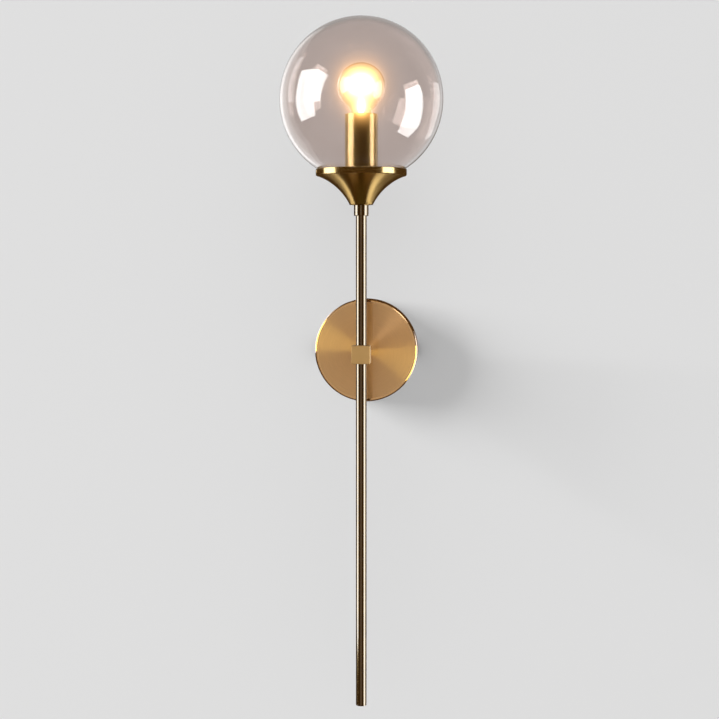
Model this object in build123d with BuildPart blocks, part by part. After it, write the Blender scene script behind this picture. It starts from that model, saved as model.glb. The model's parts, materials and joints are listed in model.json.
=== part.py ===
from build123d import *
import math
import os

# Wall sconce in millimetres: the wall is the plane Y = 0, the room lies towards -Y, Z is up
# and the origin is the middle of the canopy on the wall.

# Layout of the arm
rod_reach = 85.0            # wall to the axis of the rod
upper_rod_rise = 128.0      # block centre up to the underside of the collar
lower_rod_drop = 331.0      # block centre down to the end of the rod

# Clearances shared by the fits
thread_gap = 0.05           # radial, screwed or pressed pieces
hole_gap = 0.25             # radial, a piece passing a plain hole
rest_gap = 0.05             # flat faces of pieces that come apart
glass_gap = 0.4             # glass or lamp to the metal around it

# Slotted screw heads, as shares of the head's height
head_round = 0.6
driver_slot = 0.4
slot_width_small = 0.8
slot_width_large = 0.9

# Canopy
canopy_diameter = 100.0
canopy_depth = 22.0
canopy_wall = 1.2
canopy_edge_radius = 3.0
canopy_radius = canopy_diameter / 2
canopy_bore = canopy_radius - canopy_wall
canopy_floor = canopy_depth - canopy_wall

# Wall bracket
bracket_thickness = 1.5
bracket_width = 14.0
bracket_fit = 0.3           # between the tab corners and the canopy
bend_inside = 0.6
bend_outside = bend_inside + bracket_thickness
tongue_round = 3.0
tab_depth = 16.0
tongue_width = 28.0
tongue_drop = 39.0
slot_spacing = 60.0
slot_length = 10.0
slot_width = 4.5
tab_face = math.sqrt((canopy_bore - bracket_fit) ** 2 - (bracket_width / 2) ** 2)

# Canopy side screws, turned out of the bracket's tabs into the canopy
side_screw_diameter = 4.0
side_screw_key = 2.0
side_screw_key_depth = 1.6
side_screw_sink = 0.2
side_screw_end = 1.5        # screw standing out inside the tab
side_screw_depth = canopy_depth / 2

# Threaded nipple, nut and washer that hold the post to the canopy
nipple_diameter = 10.0
nipple_bore = 7.0
nipple_grip = 12.0          # length screwed into the post
nipple_end = 1.3            # length standing out behind the nut
nut_flats = 14.0
nut_height = 3.0
washer_diameter = 18.0
washer_height = 1.0

# Post, block and rods
post_diameter = 13.5
post_bore = 5.5
spigot_diameter = 8.0
spigot_length = 3.3
block_size = 17.0
edge_break = 0.4            # chamfer on turned and milled edges
rod_diameter = 10.0
rod_wall = 1.0
rod_seat = 6.0              # depth of each rod in the block
plug_cap = 1.0
plug_edge = 0.3
plug_grip = 6.0
rod_radius = rod_diameter / 2
rod_bore = rod_radius - rod_wall
block_face = rod_reach - block_size / 2

# Collar and the nipple of the lamp head
collar_diameter = 13.5
collar_height = 10.0
collar_shoulder = 2.0
head_nipple_radius = rod_bore - thread_gap
head_nipple_bore = 5.8
head_nipple_grip = 20.0
head_nut_flats = 13.0
head_nut_height = 4.0
head_washer_diameter = 16.0

# Gallery: a trumpet cup and the upright ring that stands on its edge
cup_wall = 1.2
foot_radius = 11.2
foot_height = 1.2
foot_round = 0.9
rim_diameter = 83.6
rim_top_height = 32.6
rim_round = 0.42
ring_wall = 2.2
ring_foot_round = 1.2
ring_mouth = 1.0            # chamfer inside the top of the ring
lip_step = 1.4              # ring standing out past the edge of the cup
lip_height = 26.5
flare_radius = 54.0
cup_base = upper_rod_rise + collar_height
rim_radius = rim_diameter / 2
rim_bore = rim_radius - ring_wall
lip_radius = rim_radius - lip_step
rim_top = cup_base + rim_top_height

# Centre of the flare's arc, from its two ends and its radius
chord_x = lip_radius - foot_radius
chord_z = lip_height - foot_height
chord = math.hypot(chord_x, chord_z)
bow = math.sqrt(flare_radius ** 2 - (chord / 2) ** 2)
flare_x = (lip_radius + foot_radius) / 2 + bow * chord_z / chord
flare_z = cup_base + (lip_height + foot_height) / 2 - bow * chord_x / chord
flare_inside = flare_radius + cup_wall


def flare_height(radius):
    """Height of the flare's inner face at a given radius."""
    return flare_z + math.sqrt(flare_inside ** 2 - (flare_x - radius) ** 2)


def flare_reach(height):
    """Radius of the flare's inner face at a given height."""
    return flare_x - math.sqrt(flare_inside ** 2 - (height - flare_z) ** 2)


# Globe, its neck and what the neck stands on
globe_diameter = 150.0
globe_wall = 2.5
neck_play = 0.8             # between the neck and the ring
neck_round = 0.6
plate_thickness = 0.8
gasket_thickness = 1.2
globe_radius = globe_diameter / 2
neck_radius = rim_bore - neck_play
neck_bore = neck_radius - globe_wall
plate_radius = neck_radius - plate_thickness
plate_base = flare_height(plate_radius) + thread_gap
plate_top = plate_base + plate_thickness
neck_base = plate_top + gasket_thickness
globe_height = rim_top + glass_gap + math.sqrt(globe_radius ** 2 - (rim_bore + ring_mouth) ** 2)
neck_top = globe_height - math.sqrt(globe_radius ** 2 - neck_radius ** 2)
neck_inside_top = globe_height - math.sqrt((globe_radius - globe_wall) ** 2 - neck_bore ** 2)

# Grub screws in the ring
grub_diameter = 3.0
grub_key = 1.5
grub_key_depth = 1.3
grub_tip_gap = 0.3
grub_sink = 0.15
grub_angle = 46.5           # first screw, from the front towards the right
grub_count = 3
grub_height = (neck_base + neck_top) / 2

# Socket sleeve and lampholder
sleeve_diameter = 30.5
sleeve_wall = 0.8
sleeve_height = 55.0
sleeve_play = 0.45
sleeve_round = 0.24
base_height = 9.0
base_grip = 7.0
holder_recess = 2.5
cap_seat = 25.75            # holder top down to the contact
contact_rise = 2.4
web_thickness = 2.0
chamber_radius = 11.0
shell_bore = 7.1
shell_wall = 0.5
shell_depth = 6.0           # top of the shell below the holder top
shell_floor_hole = 4.6      # radius
terminal_width = 6.0
terminal_depth = 5.0
terminal_height = 7.0
neutral_offset = 7.2
rivet_radius = 1.2
terminal_screw_rise = 3.15
leaf_thickness = 0.35
leaf_foot = 3.2             # half width on the web
leaf_head = 1.8             # half width under the lamp
leaf_width = 3.0
sleeve_radius = sleeve_diameter / 2
sleeve_top = plate_top + sleeve_height
holder_radius = sleeve_radius - sleeve_wall - sleeve_play
base_top = plate_top + base_height
holder_top = sleeve_top - holder_recess
contact_top = holder_top - cap_seat
web_top = contact_top - contact_rise
web_base = web_top - web_thickness
shell_radius = shell_bore + shell_wall

# Lamp
bulb_diameter = 44.0
bulb_wall = 0.8
bulb_centre_rise = 53.2     # contact tip up to the middle of the bulb
bulb_neck_radius = 8.0
cap_height = 25.0
cap_wall = 0.35
cap_flange_height = 3.2
cap_shoulder = 2.4          # height of the cone between the thread and the flange
cap_fit = 0.15              # between the cap and the neck of the bulb
cap_flange_radius = bulb_neck_radius + cap_fit + cap_wall
tip_radius = 2.4
tip_face_radius = 1.6
tip_bevel = 0.72
insulator_base = 1.2
insulator_top = 5.0
insulator_radius = 3.4
bulb_neck_straight = 1.0
stem_flare_height = 4.5
stem_flare_radius = 3.2
stem_pinch_height = 8.0
stem_pinch_radius = 2.3
stem_drop = 11.0            # top of the stem below the middle of the bulb
lead_diameter = 0.7
lead_spread = 9.0
lead_root = 1.2             # each lead from the axis where it leaves the stem
lead_straight = 3.0
lead_hook = 4.0
lead_bend = 2.0
lead_rise = 1.0             # top of the leads above the middle of the bulb
filament_diameter = 0.9
filament_arch = 3.0
filament_seat = 0.36        # end of the filament from the side of its lead
bulb_radius = bulb_diameter / 2
cap_thread_radius = shell_bore - glass_gap
tip_base = contact_top + rest_gap
bulb_height = tip_base + bulb_centre_rise
bulb_neck_base = tip_base + cap_height - cap_flange_height
bulb_neck_top = bulb_neck_base + bulb_neck_straight
blend_rise = bulb_height - bulb_neck_top
blend_radius = (bulb_neck_radius ** 2 + blend_rise ** 2 - bulb_radius ** 2) / (
    2 * (bulb_radius - bulb_neck_radius)
)
blend_share = 1 / (bulb_radius + blend_radius)

# Terminal block and wiring
strip_width = 32.0
strip_height = 16.0
strip_depth = 12.5
strip_drop = 20.0           # canopy centre down to the top of the terminal block
pole_pitch = 10.0
pole_rise = 6.0
pole_depth = bracket_thickness + pole_rise
clamp_diameter = 4.4
clamp_bore = 2.6
clamp_length = 14.0
clamp_screw_diameter = 2.4
clamp_screw_sink = 1.0
well_diameter = 3.8
fixing_screw_diameter = 3.0
fixing_screw_head = 5.5
fixing_screw_head_height = 2.0
wire_diameter = 2.0
wire_offset = 1.25          # each wire from the middle of the bores
wire_bend = 5.0
wire_grip = 5.0
earth_screw_diameter = 4.0
earth_screw_head = 7.0
earth_screw_head_height = 2.4
earth_offset = 18.0
lug_thickness = 0.8
lug_diameter = 8.0
lug_barrel = 3.4
lug_barrel_length = 5.6
lug_barrel_step = 0.4       # barrel below the middle of the lug's neck
lug_neck_width = 2.7
lug_neck_height = 1.6
earth_bend = 3.0
earth_lug_run = 3.0         # straight wire below the lug
earth_strip_run = 2.2       # straight wire above the terminal block
spread_rise = 6.0           # top of the terminal block up to where the wires draw together
turn_rise = 0.6             # lampholder base up to the neutral wire's turn
turn_climb = 3.0
turn_bend = 2.4
wire_radius = wire_diameter / 2
strip_middle = -strip_drop - strip_height / 2
strip_front = bracket_thickness + strip_depth

rod_axis = Axis((0, -rod_reach, 0), (0, 0, 1))
rod_section = Plane(origin=(0, -rod_reach, 0), x_dir=(1, 0, 0), z_dir=(0, -1, 0))


def on_rod(height):
    """Level plane on the rod's axis."""
    return Plane(origin=(0, -rod_reach, height), x_dir=(1, 0, 0), z_dir=(0, 0, 1))


def off_wall(depth, x=0.0, z=0.0):
    """Plane parallel to the wall, facing the room."""
    return Plane(origin=(x, -depth, z), x_dir=(1, 0, 0), z_dir=(0, -1, 0))


def wire_along(route, bends):
    """Round wire swept along straight runs joined by tangent arcs."""
    with BuildPart() as made:
        with BuildLine() as path:
            FilletPolyline(*route, radius=bends)
        with BuildSketch(Plane(origin=path.line @ 0, z_dir=path.line % 0)):
            Circle(wire_radius)
        sweep(path=path.line)
    length = sum(edge.length for edge in path.edges())
    share = made.part.volume / (math.pi * wire_radius ** 2 * length)
    print(f"wire {length:.1f} mm long, volume {share:.4f} of section times length")
    return made


def headed_screw(seat, shank, length, head, head_height, slot=slot_width_large):
    """Slotted round-headed screw: the head stands on the seat, the shank points the other way."""
    with BuildPart() as made:
        with BuildSketch(seat):
            Circle(head / 2)
        extrude(amount=head_height)
        fillet(made.edges().sort_by(Axis(seat.origin, seat.z_dir))[-1], head_height * head_round)
        with BuildSketch(seat):
            Circle(shank / 2)
        extrude(amount=-length)
        with BuildSketch(seat.offset(head_height)):
            Rectangle(head, slot)
        extrude(amount=-head_height * driver_slot, mode=Mode.SUBTRACT)
    return made


# Wall bracket: a U of steel strip with a tongue for the terminal block
with BuildPart() as wall_bracket:
    with BuildSketch(Plane.XY):
        with BuildLine():
            FilletPolyline(
                (-tab_face, -tab_depth),
                (-tab_face, 0),
                (tab_face, 0),
                (tab_face, -tab_depth),
                (tab_face - bracket_thickness, -tab_depth),
                (tab_face - bracket_thickness, -bracket_thickness),
                (bracket_thickness - tab_face, -bracket_thickness),
                (bracket_thickness - tab_face, -tab_depth),
                radius=[0, bend_outside, bend_outside, 0, 0, bend_inside, bend_inside, 0],
                close=True,
            )
        make_face()
    extrude(amount=bracket_width / 2, both=True)
    with BuildSketch(off_wall(0)):
        with Locations((0, -tongue_drop / 2)):
            Rectangle(tongue_width, tongue_drop)
    extrude(amount=bracket_thickness)
    fillet(
        wall_bracket.edges().filter_by(Axis.Y).sort_by(Axis.Z)[:2],
        radius=tongue_round,
    )
    with BuildSketch(off_wall(0)):
        with Locations((-slot_spacing / 2, 0), (slot_spacing / 2, 0)):
            SlotOverall(slot_length, slot_width)
        with Locations((-earth_offset, 0)):
            Circle(earth_screw_diameter / 2 + thread_gap)
        with Locations((pole_pitch / 2, strip_middle)):
            Circle(fixing_screw_diameter / 2 + thread_gap)
    extrude(amount=bracket_thickness, mode=Mode.SUBTRACT)
    with BuildSketch(Plane.YZ):
        with Locations((-side_screw_depth, 0)):
            Circle(side_screw_diameter / 2 + thread_gap)
    extrude(amount=canopy_radius, both=True, mode=Mode.SUBTRACT)

# Canopy: a spun dish, open to the wall
with BuildPart() as canopy:
    with BuildSketch(Plane.XY):
        with BuildLine():
            FilletPolyline(
                (nipple_diameter / 2 + hole_gap, -canopy_depth),
                (canopy_radius, -canopy_depth),
                (canopy_radius, 0),
                (canopy_bore, 0),
                (canopy_bore, -canopy_floor),
                (nipple_diameter / 2 + hole_gap, -canopy_floor),
                radius=[0, canopy_edge_radius, 0, 0, canopy_edge_radius - canopy_wall, 0],
                close=True,
            )
        make_face()
    revolve(axis=Axis.Y)
    with BuildSketch(Plane.YZ):
        with Locations((-side_screw_depth, 0)):
            Circle(side_screw_diameter / 2 + hole_gap)
    extrude(amount=canopy_diameter, both=True, mode=Mode.SUBTRACT)

# Two grub screws in the bracket's tabs, each with its end in a hole in the canopy's side
side_face = canopy_radius - side_screw_sink
side_length = side_face - tab_face + bracket_thickness + side_screw_end
with BuildPart() as canopy_screws:
    for side in (-1, 1):
        screw_end = Plane(origin=(side * side_face, -side_screw_depth, 0), z_dir=(side, 0, 0))
        with BuildSketch(screw_end):
            Circle(side_screw_diameter / 2)
        extrude(amount=-side_length)
        with BuildSketch(screw_end):
            RegularPolygon(side_screw_key / 2, 6, major_radius=False)
        extrude(amount=-side_screw_key_depth, mode=Mode.SUBTRACT)

# Nipple, washer and nut inside the canopy
nipple_back = canopy_floor - washer_height - nut_height - nipple_end
with BuildPart() as canopy_nipple:
    with BuildSketch(off_wall(nipple_back)):
        Circle(nipple_diameter / 2)
        Circle(nipple_bore / 2, mode=Mode.SUBTRACT)
    extrude(amount=canopy_depth + nipple_grip - nipple_back)

with BuildPart() as canopy_washer:
    with BuildSketch(off_wall(canopy_floor - washer_height)):
        Circle(washer_diameter / 2)
        Circle(nipple_diameter / 2 + hole_gap, mode=Mode.SUBTRACT)
    extrude(amount=washer_height)

with BuildPart() as canopy_nut:
    with BuildSketch(off_wall(canopy_floor - washer_height - nut_height)):
        RegularPolygon(nut_flats / 2, 6, major_radius=False)
        Circle(nipple_diameter / 2 + thread_gap, mode=Mode.SUBTRACT)
    extrude(amount=nut_height)

# Post from the canopy to the block, bored for the wires
with BuildPart() as standoff_post:
    with BuildSketch(off_wall(canopy_depth)):
        Circle(post_diameter / 2)
    extrude(amount=block_face - canopy_depth)
    with BuildSketch(off_wall(block_face)):
        Circle(spigot_diameter / 2)
    extrude(amount=spigot_length)
    with BuildSketch(off_wall(canopy_depth)):
        Circle(nipple_diameter / 2 + thread_gap)
    extrude(amount=nipple_grip + hole_gap, mode=Mode.SUBTRACT)
    with BuildSketch(off_wall(canopy_depth)):
        Circle(post_bore / 2)
    extrude(amount=rod_reach, mode=Mode.SUBTRACT)

# Square block that joins the post and the two rods
with BuildPart() as rod_block:
    with BuildSketch(on_rod(-block_size / 2)):
        Rectangle(block_size, block_size)
    extrude(amount=block_size)
    chamfer(rod_block.edges(), edge_break)
    with BuildSketch(on_rod(-block_size / 2)):
        Circle(rod_bore)
    extrude(amount=block_size, mode=Mode.SUBTRACT)
    with BuildSketch(on_rod(block_size / 2 - rod_seat)):
        Circle(rod_radius + thread_gap)
    extrude(amount=rod_seat, mode=Mode.SUBTRACT)
    with BuildSketch(on_rod(-block_size / 2)):
        Circle(rod_radius + thread_gap)
    extrude(amount=rod_seat, mode=Mode.SUBTRACT)
    with BuildSketch(off_wall(block_face)):
        Circle(spigot_diameter / 2 + thread_gap)
    extrude(amount=spigot_length + thread_gap, mode=Mode.SUBTRACT)
    with BuildSketch(off_wall(block_face)):
        Circle(post_bore / 2)
    extrude(amount=block_size / 2, mode=Mode.SUBTRACT)

# Rods: the upper carries the lamp head, the lower hangs free
rod_foot = block_size / 2 - rod_seat
rod_top = cup_base - collar_shoulder
with BuildPart() as upper_rod:
    with BuildSketch(on_rod(rod_foot)):
        Circle(rod_radius)
        Circle(rod_bore, mode=Mode.SUBTRACT)
    extrude(amount=rod_top - rod_foot)

with BuildPart() as lower_rod:
    with BuildSketch(on_rod(plug_cap - lower_rod_drop)):
        Circle(rod_radius)
        Circle(rod_bore, mode=Mode.SUBTRACT)
    extrude(amount=lower_rod_drop - plug_cap - rod_foot)

with BuildPart() as rod_end_plug:
    with BuildSketch(on_rod(-lower_rod_drop)):
        Circle(rod_radius)
    extrude(amount=plug_cap)
    chamfer(rod_end_plug.edges().sort_by(Axis.Z)[0], plug_edge)
    with BuildSketch(on_rod(plug_cap - lower_rod_drop)):
        Circle(rod_bore - thread_gap)
    extrude(amount=plug_grip)

# Collar over the top of the rod
with BuildPart() as rod_collar:
    with BuildSketch(on_rod(upper_rod_rise)):
        Circle(collar_diameter / 2)
    extrude(amount=collar_height)
    chamfer(rod_collar.edges(), edge_break)
    with BuildSketch(on_rod(upper_rod_rise)):
        Circle(rod_radius + thread_gap)
    extrude(amount=collar_height - collar_shoulder + thread_gap, mode=Mode.SUBTRACT)
    with BuildSketch(on_rod(upper_rod_rise)):
        Circle(head_nipple_radius + thread_gap)
    extrude(amount=collar_height, mode=Mode.SUBTRACT)

# Threaded nipple from the rod up into the lampholder
with BuildPart() as gallery_nipple:
    with BuildSketch(on_rod(rod_top - head_nipple_grip)):
        Circle(head_nipple_radius)
        Circle(head_nipple_bore / 2, mode=Mode.SUBTRACT)
    extrude(amount=plate_top + base_grip - rod_top + head_nipple_grip)

# Gallery cup: one arc for the flare, on a flat foot
cup_hole = head_nipple_radius + hole_gap
cup_floor = cup_base + cup_wall
lip_base = cup_base + lip_height
with BuildPart() as gallery_cup:
    with BuildSketch(rod_section):
        with BuildLine():
            Polyline(
                (foot_radius, cup_base + foot_height),
                (foot_radius, cup_base),
                (cup_hole, cup_base),
                (cup_hole, cup_floor),
                (flare_reach(cup_floor), cup_floor),
            )
            RadiusArc(
                (flare_reach(cup_floor), cup_floor),
                (lip_radius, flare_height(lip_radius)),
                flare_inside,
            )
            Line((lip_radius, flare_height(lip_radius)), (lip_radius, lip_base))
            RadiusArc((lip_radius, lip_base), (foot_radius, cup_base + foot_height), -flare_radius)
        make_face()
    revolve(axis=rod_axis)
    feet = gallery_cup.edges().filter_by(GeomType.CIRCLE).filter_by(
        lambda e: abs(e.center().Z - cup_base) < 0.001 and abs(e.radius - foot_radius) < 0.001
    )
    fillet(feet, foot_round)

# Gallery ring: rebated over the cup's edge, with three tapped holes
ring_seat = flare_height(lip_radius) + thread_gap
with BuildPart() as gallery_ring:
    with BuildSketch(rod_section):
        with BuildLine():
            FilletPolyline(
                (lip_radius + thread_gap, lip_base),
                (rim_radius, lip_base),
                (rim_radius, rim_top),
                (rim_bore + ring_mouth, rim_top),
                (rim_bore, rim_top - ring_mouth),
                (rim_bore, ring_seat),
                (lip_radius + thread_gap, ring_seat),
                radius=[0, ring_foot_round, rim_round, 0, 0, 0, 0],
                close=True,
            )
        make_face()
    revolve(axis=rod_axis)
    for turn in range(grub_count):
        angle = math.radians(grub_angle + 360 / grub_count * turn)
        outward = Vector(math.sin(angle), -math.cos(angle), 0)
        with BuildSketch(Plane(origin=(0, -rod_reach, grub_height), z_dir=outward)):
            Circle(grub_diameter / 2 + thread_gap)
        extrude(amount=rim_diameter, mode=Mode.SUBTRACT)

with BuildPart() as gallery_washer:
    with BuildSketch(on_rod(cup_floor)):
        Circle(head_washer_diameter / 2)
        Circle(cup_hole, mode=Mode.SUBTRACT)
    extrude(amount=washer_height)

with BuildPart() as gallery_nut:
    with BuildSketch(on_rod(cup_floor + washer_height)):
        RegularPolygon(head_nut_flats / 2, 6, major_radius=False)
        Circle(head_nipple_radius + thread_gap, mode=Mode.SUBTRACT)
    extrude(amount=head_nut_height)

# Plate that closes the cup, and the gasket on it
with BuildPart() as gallery_plate:
    with BuildSketch(on_rod(plate_base)):
        Circle(plate_radius)
        Circle(cup_hole, mode=Mode.SUBTRACT)
    extrude(amount=plate_thickness)

with BuildPart() as globe_gasket:
    with BuildSketch(on_rod(plate_top)):
        Circle(neck_radius - neck_round)
        Circle(neck_bore + neck_round, mode=Mode.SUBTRACT)
    extrude(amount=gasket_thickness)

# Grub screws with a hexagon socket
grubs = []
for turn in range(grub_count):
    angle = math.radians(grub_angle + 360 / grub_count * turn)
    outward = Vector(math.sin(angle), -math.cos(angle), 0)
    grub_plane = Plane(origin=(0, -rod_reach, grub_height), z_dir=outward)
    with BuildPart() as gallery_screw:
        with BuildSketch(grub_plane.offset(neck_radius + grub_tip_gap)):
            Circle(grub_diameter / 2)
        extrude(amount=rim_radius - grub_sink - neck_radius - grub_tip_gap)
        with BuildSketch(grub_plane.offset(rim_radius - grub_sink)):
            RegularPolygon(grub_key / 2, 6, major_radius=False)
        extrude(amount=-grub_key_depth, mode=Mode.SUBTRACT)
    grubs.append(gallery_screw)

# Glass globe: a sphere with a short straight neck
inner_radius = globe_radius - globe_wall
with BuildPart() as globe:
    with BuildSketch(rod_section):
        with BuildLine():
            Polyline(
                (neck_bore, neck_inside_top),
                (neck_bore, neck_base),
                (neck_radius, neck_base),
                (neck_radius, neck_top),
            )
            ThreePointArc(
                (neck_radius, neck_top),
                (globe_radius, globe_height),
                (0, globe_height + globe_radius),
            )
            Line((0, globe_height + globe_radius), (0, globe_height + inner_radius))
            ThreePointArc(
                (0, globe_height + inner_radius),
                (inner_radius, globe_height),
                (neck_bore, neck_inside_top),
            )
        make_face()
    revolve(axis=rod_axis)
    fillet(
        globe.edges().filter_by(GeomType.CIRCLE).filter_by(
            lambda e: abs(e.center().Z - neck_base) < 0.001
        ),
        neck_round,
    )

# Lampholder: base, insulating body, threaded shell, leaf contact and terminals
with BuildPart() as holder_base:
    with BuildSketch(on_rod(plate_top)):
        Circle(holder_radius - sleeve_play)
        Circle(head_nipple_radius + thread_gap, mode=Mode.SUBTRACT)
    extrude(amount=base_height)

with BuildPart() as holder_body:
    with BuildSketch(on_rod(base_top)):
        Circle(holder_radius)
    extrude(amount=holder_top - base_top)
    with BuildSketch(on_rod(base_top)):
        Circle(chamber_radius)
    extrude(amount=web_base - base_top, mode=Mode.SUBTRACT)
    with BuildSketch(on_rod(web_top)):
        Circle(shell_radius + thread_gap)
    extrude(amount=holder_top - web_top, mode=Mode.SUBTRACT)
    with BuildSketch(on_rod(holder_top)):
        Circle(cap_flange_radius + 2 * glass_gap)
    extrude(amount=-shell_depth, mode=Mode.SUBTRACT)
    with BuildSketch(on_rod(web_base)):
        with Locations((0, 0), (-neutral_offset + rivet_radius, 0)):
            Circle(rivet_radius + thread_gap)
    extrude(amount=web_thickness, mode=Mode.SUBTRACT)

with BuildPart() as holder_shell:
    with BuildSketch(on_rod(web_top)):
        Circle(shell_radius)
    extrude(amount=holder_top - shell_depth - web_top)
    with BuildSketch(on_rod(web_top + shell_wall)):
        Circle(shell_bore)
    extrude(amount=holder_top - web_top, mode=Mode.SUBTRACT)
    with BuildSketch(on_rod(web_top)):
        Circle(shell_floor_hole)
    extrude(amount=shell_wall, mode=Mode.SUBTRACT)

with BuildPart() as holder_contact:
    with BuildSketch(rod_section):
        with BuildLine():
            Polyline(
                (-leaf_foot, web_top),
                (leaf_foot, web_top),
                (leaf_head, contact_top),
                (-leaf_head, contact_top),
                close=True,
            )
        make_face()
        offset(amount=-leaf_thickness, kind=Kind.INTERSECTION, mode=Mode.SUBTRACT)
    extrude(amount=leaf_width / 2, both=True)

terminal_base = web_base - terminal_height
screw_level = terminal_base + terminal_screw_rise
with BuildPart() as holder_terminals:
    with BuildSketch(on_rod(terminal_base)):
        with Locations((0, 0), (-neutral_offset, 0)):
            Rectangle(terminal_width, terminal_depth)
    extrude(amount=terminal_height)
    with BuildSketch(on_rod(web_base)):
        with Locations((0, 0), (-neutral_offset + rivet_radius, 0)):
            Circle(rivet_radius)
    extrude(amount=web_thickness)
    with BuildSketch(on_rod(terminal_base)):
        with Locations((wire_offset, 0), (-neutral_offset, 0)):
            Circle(wire_radius + hole_gap)
    extrude(amount=wire_grip + hole_gap, mode=Mode.SUBTRACT)
    with BuildSketch(off_wall(rod_reach, 0, screw_level)):
        with Locations((wire_offset, 0), (-neutral_offset, 0)):
            Circle(rivet_radius + thread_gap)
    extrude(amount=terminal_depth, mode=Mode.SUBTRACT)

with BuildPart() as holder_terminal_screws:
    with BuildSketch(off_wall(rod_reach + wire_radius + thread_gap, 0, screw_level)):
        with Locations((wire_offset, 0), (-neutral_offset, 0)):
            Circle(rivet_radius)
    extrude(amount=terminal_depth / 2)

with BuildPart() as socket_sleeve:
    with BuildSketch(on_rod(plate_top)):
        Circle(sleeve_radius)
        Circle(sleeve_radius - sleeve_wall, mode=Mode.SUBTRACT)
    extrude(amount=sleeve_height)
    fillet(socket_sleeve.edges().sort_by(Axis.Z)[-2:], sleeve_round)

# Lamp: contact tip, insulator, screw cap, glass bulb, stem, leads and filament
with BuildPart() as bulb_tip:
    with BuildSketch(rod_section):
        with BuildLine():
            Polyline(
                (0, tip_base),
                (tip_face_radius, tip_base),
                (tip_radius, tip_base + tip_bevel),
                (tip_radius, tip_base + insulator_base),
                (0, tip_base + insulator_base),
                close=True,
            )
        make_face()
    revolve(axis=rod_axis)

cap_base = tip_base + insulator_top
with BuildPart() as bulb_insulator:
    with BuildSketch(rod_section):
        with BuildLine():
            Polyline(
                (0, tip_base + insulator_base),
                (insulator_radius, tip_base + insulator_base),
                (cap_thread_radius - cap_wall, cap_base),
                (0, cap_base),
                close=True,
            )
        make_face()
    revolve(axis=rod_axis)

with BuildPart() as bulb_cap:
    with BuildSketch(rod_section):
        with BuildLine():
            Polyline(
                (cap_thread_radius - 2 * cap_wall, cap_base),
                (cap_thread_radius, cap_base),
                (cap_thread_radius, bulb_neck_base - cap_shoulder),
                (cap_flange_radius, bulb_neck_base - cap_wall),
                (cap_flange_radius, tip_base + cap_height),
                (cap_flange_radius - cap_wall, tip_base + cap_height),
                (cap_flange_radius - cap_wall, bulb_neck_base - cap_wall + cap_fit),
                (cap_thread_radius - cap_wall, bulb_neck_base - cap_shoulder + cap_fit),
                (cap_thread_radius - cap_wall, cap_base + cap_wall),
                (cap_thread_radius - 2 * cap_wall, cap_base + cap_wall),
                close=True,
            )
        make_face()
    revolve(axis=rod_axis)

blend_x = bulb_neck_radius + blend_radius


def bulb_face(inset):
    """Points of the bulb's outline at a depth in the glass: neck end, neck top, blend middle, join, top."""
    ball = bulb_radius - inset
    blend = blend_radius + inset
    join = Vector(blend_x * ball * blend_share, bulb_height - blend_rise * ball * blend_share)
    half = math.atan2(join.Y - bulb_neck_top, blend_x - join.X) / 2
    middle = Vector(blend_x - blend * math.cos(half), bulb_neck_top + blend * math.sin(half))
    return [
        Vector(blend_x - blend, bulb_neck_base),
        Vector(blend_x - blend, bulb_neck_top),
        middle,
        join,
        Vector(ball, bulb_height),
        Vector(0, bulb_height + ball),
    ]


outer = bulb_face(0)
inner = bulb_face(bulb_wall)
with BuildPart() as bulb_glass:
    with BuildSketch(rod_section):
        with BuildLine():
            Polyline(inner[1], inner[0], outer[0], outer[1])
            ThreePointArc(outer[1], outer[2], outer[3])
            ThreePointArc(outer[3], outer[4], outer[5])
            Line(outer[5], inner[5])
            ThreePointArc(inner[5], inner[4], inner[3])
            ThreePointArc(inner[3], inner[2], inner[1])
        make_face()
    revolve(axis=rod_axis)

stem_radius = bulb_neck_radius - bulb_wall - thread_gap
stem_top = bulb_height - stem_drop
with BuildPart() as bulb_stem:
    with BuildSketch(rod_section):
        with BuildLine():
            Polyline(
                (0, bulb_neck_base),
                (stem_radius, bulb_neck_base),
                (stem_radius, bulb_neck_base + bulb_wall),
                (stem_flare_radius, bulb_neck_base + stem_flare_height),
                (stem_pinch_radius, bulb_neck_base + stem_pinch_height),
                (stem_pinch_radius, stem_top),
                (0, stem_top),
                close=True,
            )
        make_face()
    revolve(axis=rod_axis)

lead_top = bulb_height + lead_rise
with BuildPart() as bulb_leads:
    for side in (-1, 1):
        with BuildLine() as lead_path:
            FilletPolyline(
                (side * lead_root, -rod_reach, stem_top),
                (side * lead_root, -rod_reach, stem_top + lead_straight),
                (side * lead_spread, -rod_reach, lead_top - lead_hook),
                (side * lead_spread, -rod_reach, lead_top),
                radius=lead_bend,
            )
        with BuildSketch(Plane(origin=lead_path.line @ 0, z_dir=lead_path.line % 0)):
            Circle(lead_diameter / 2)
        sweep(path=lead_path.line)

filament_end = lead_spread - lead_diameter / 2 - filament_seat
filament_level = lead_top - filament_diameter
with BuildPart() as bulb_filament:
    with BuildLine() as filament_path:
        ThreePointArc(
            (-filament_end, -rod_reach, filament_level),
            (0, -rod_reach, filament_level + filament_arch),
            (filament_end, -rod_reach, filament_level),
        )
    with BuildSketch(Plane(origin=filament_path.line @ 0, z_dir=filament_path.line % 0)):
        Circle(filament_diameter / 2)
    sweep(path=filament_path.line)

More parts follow.
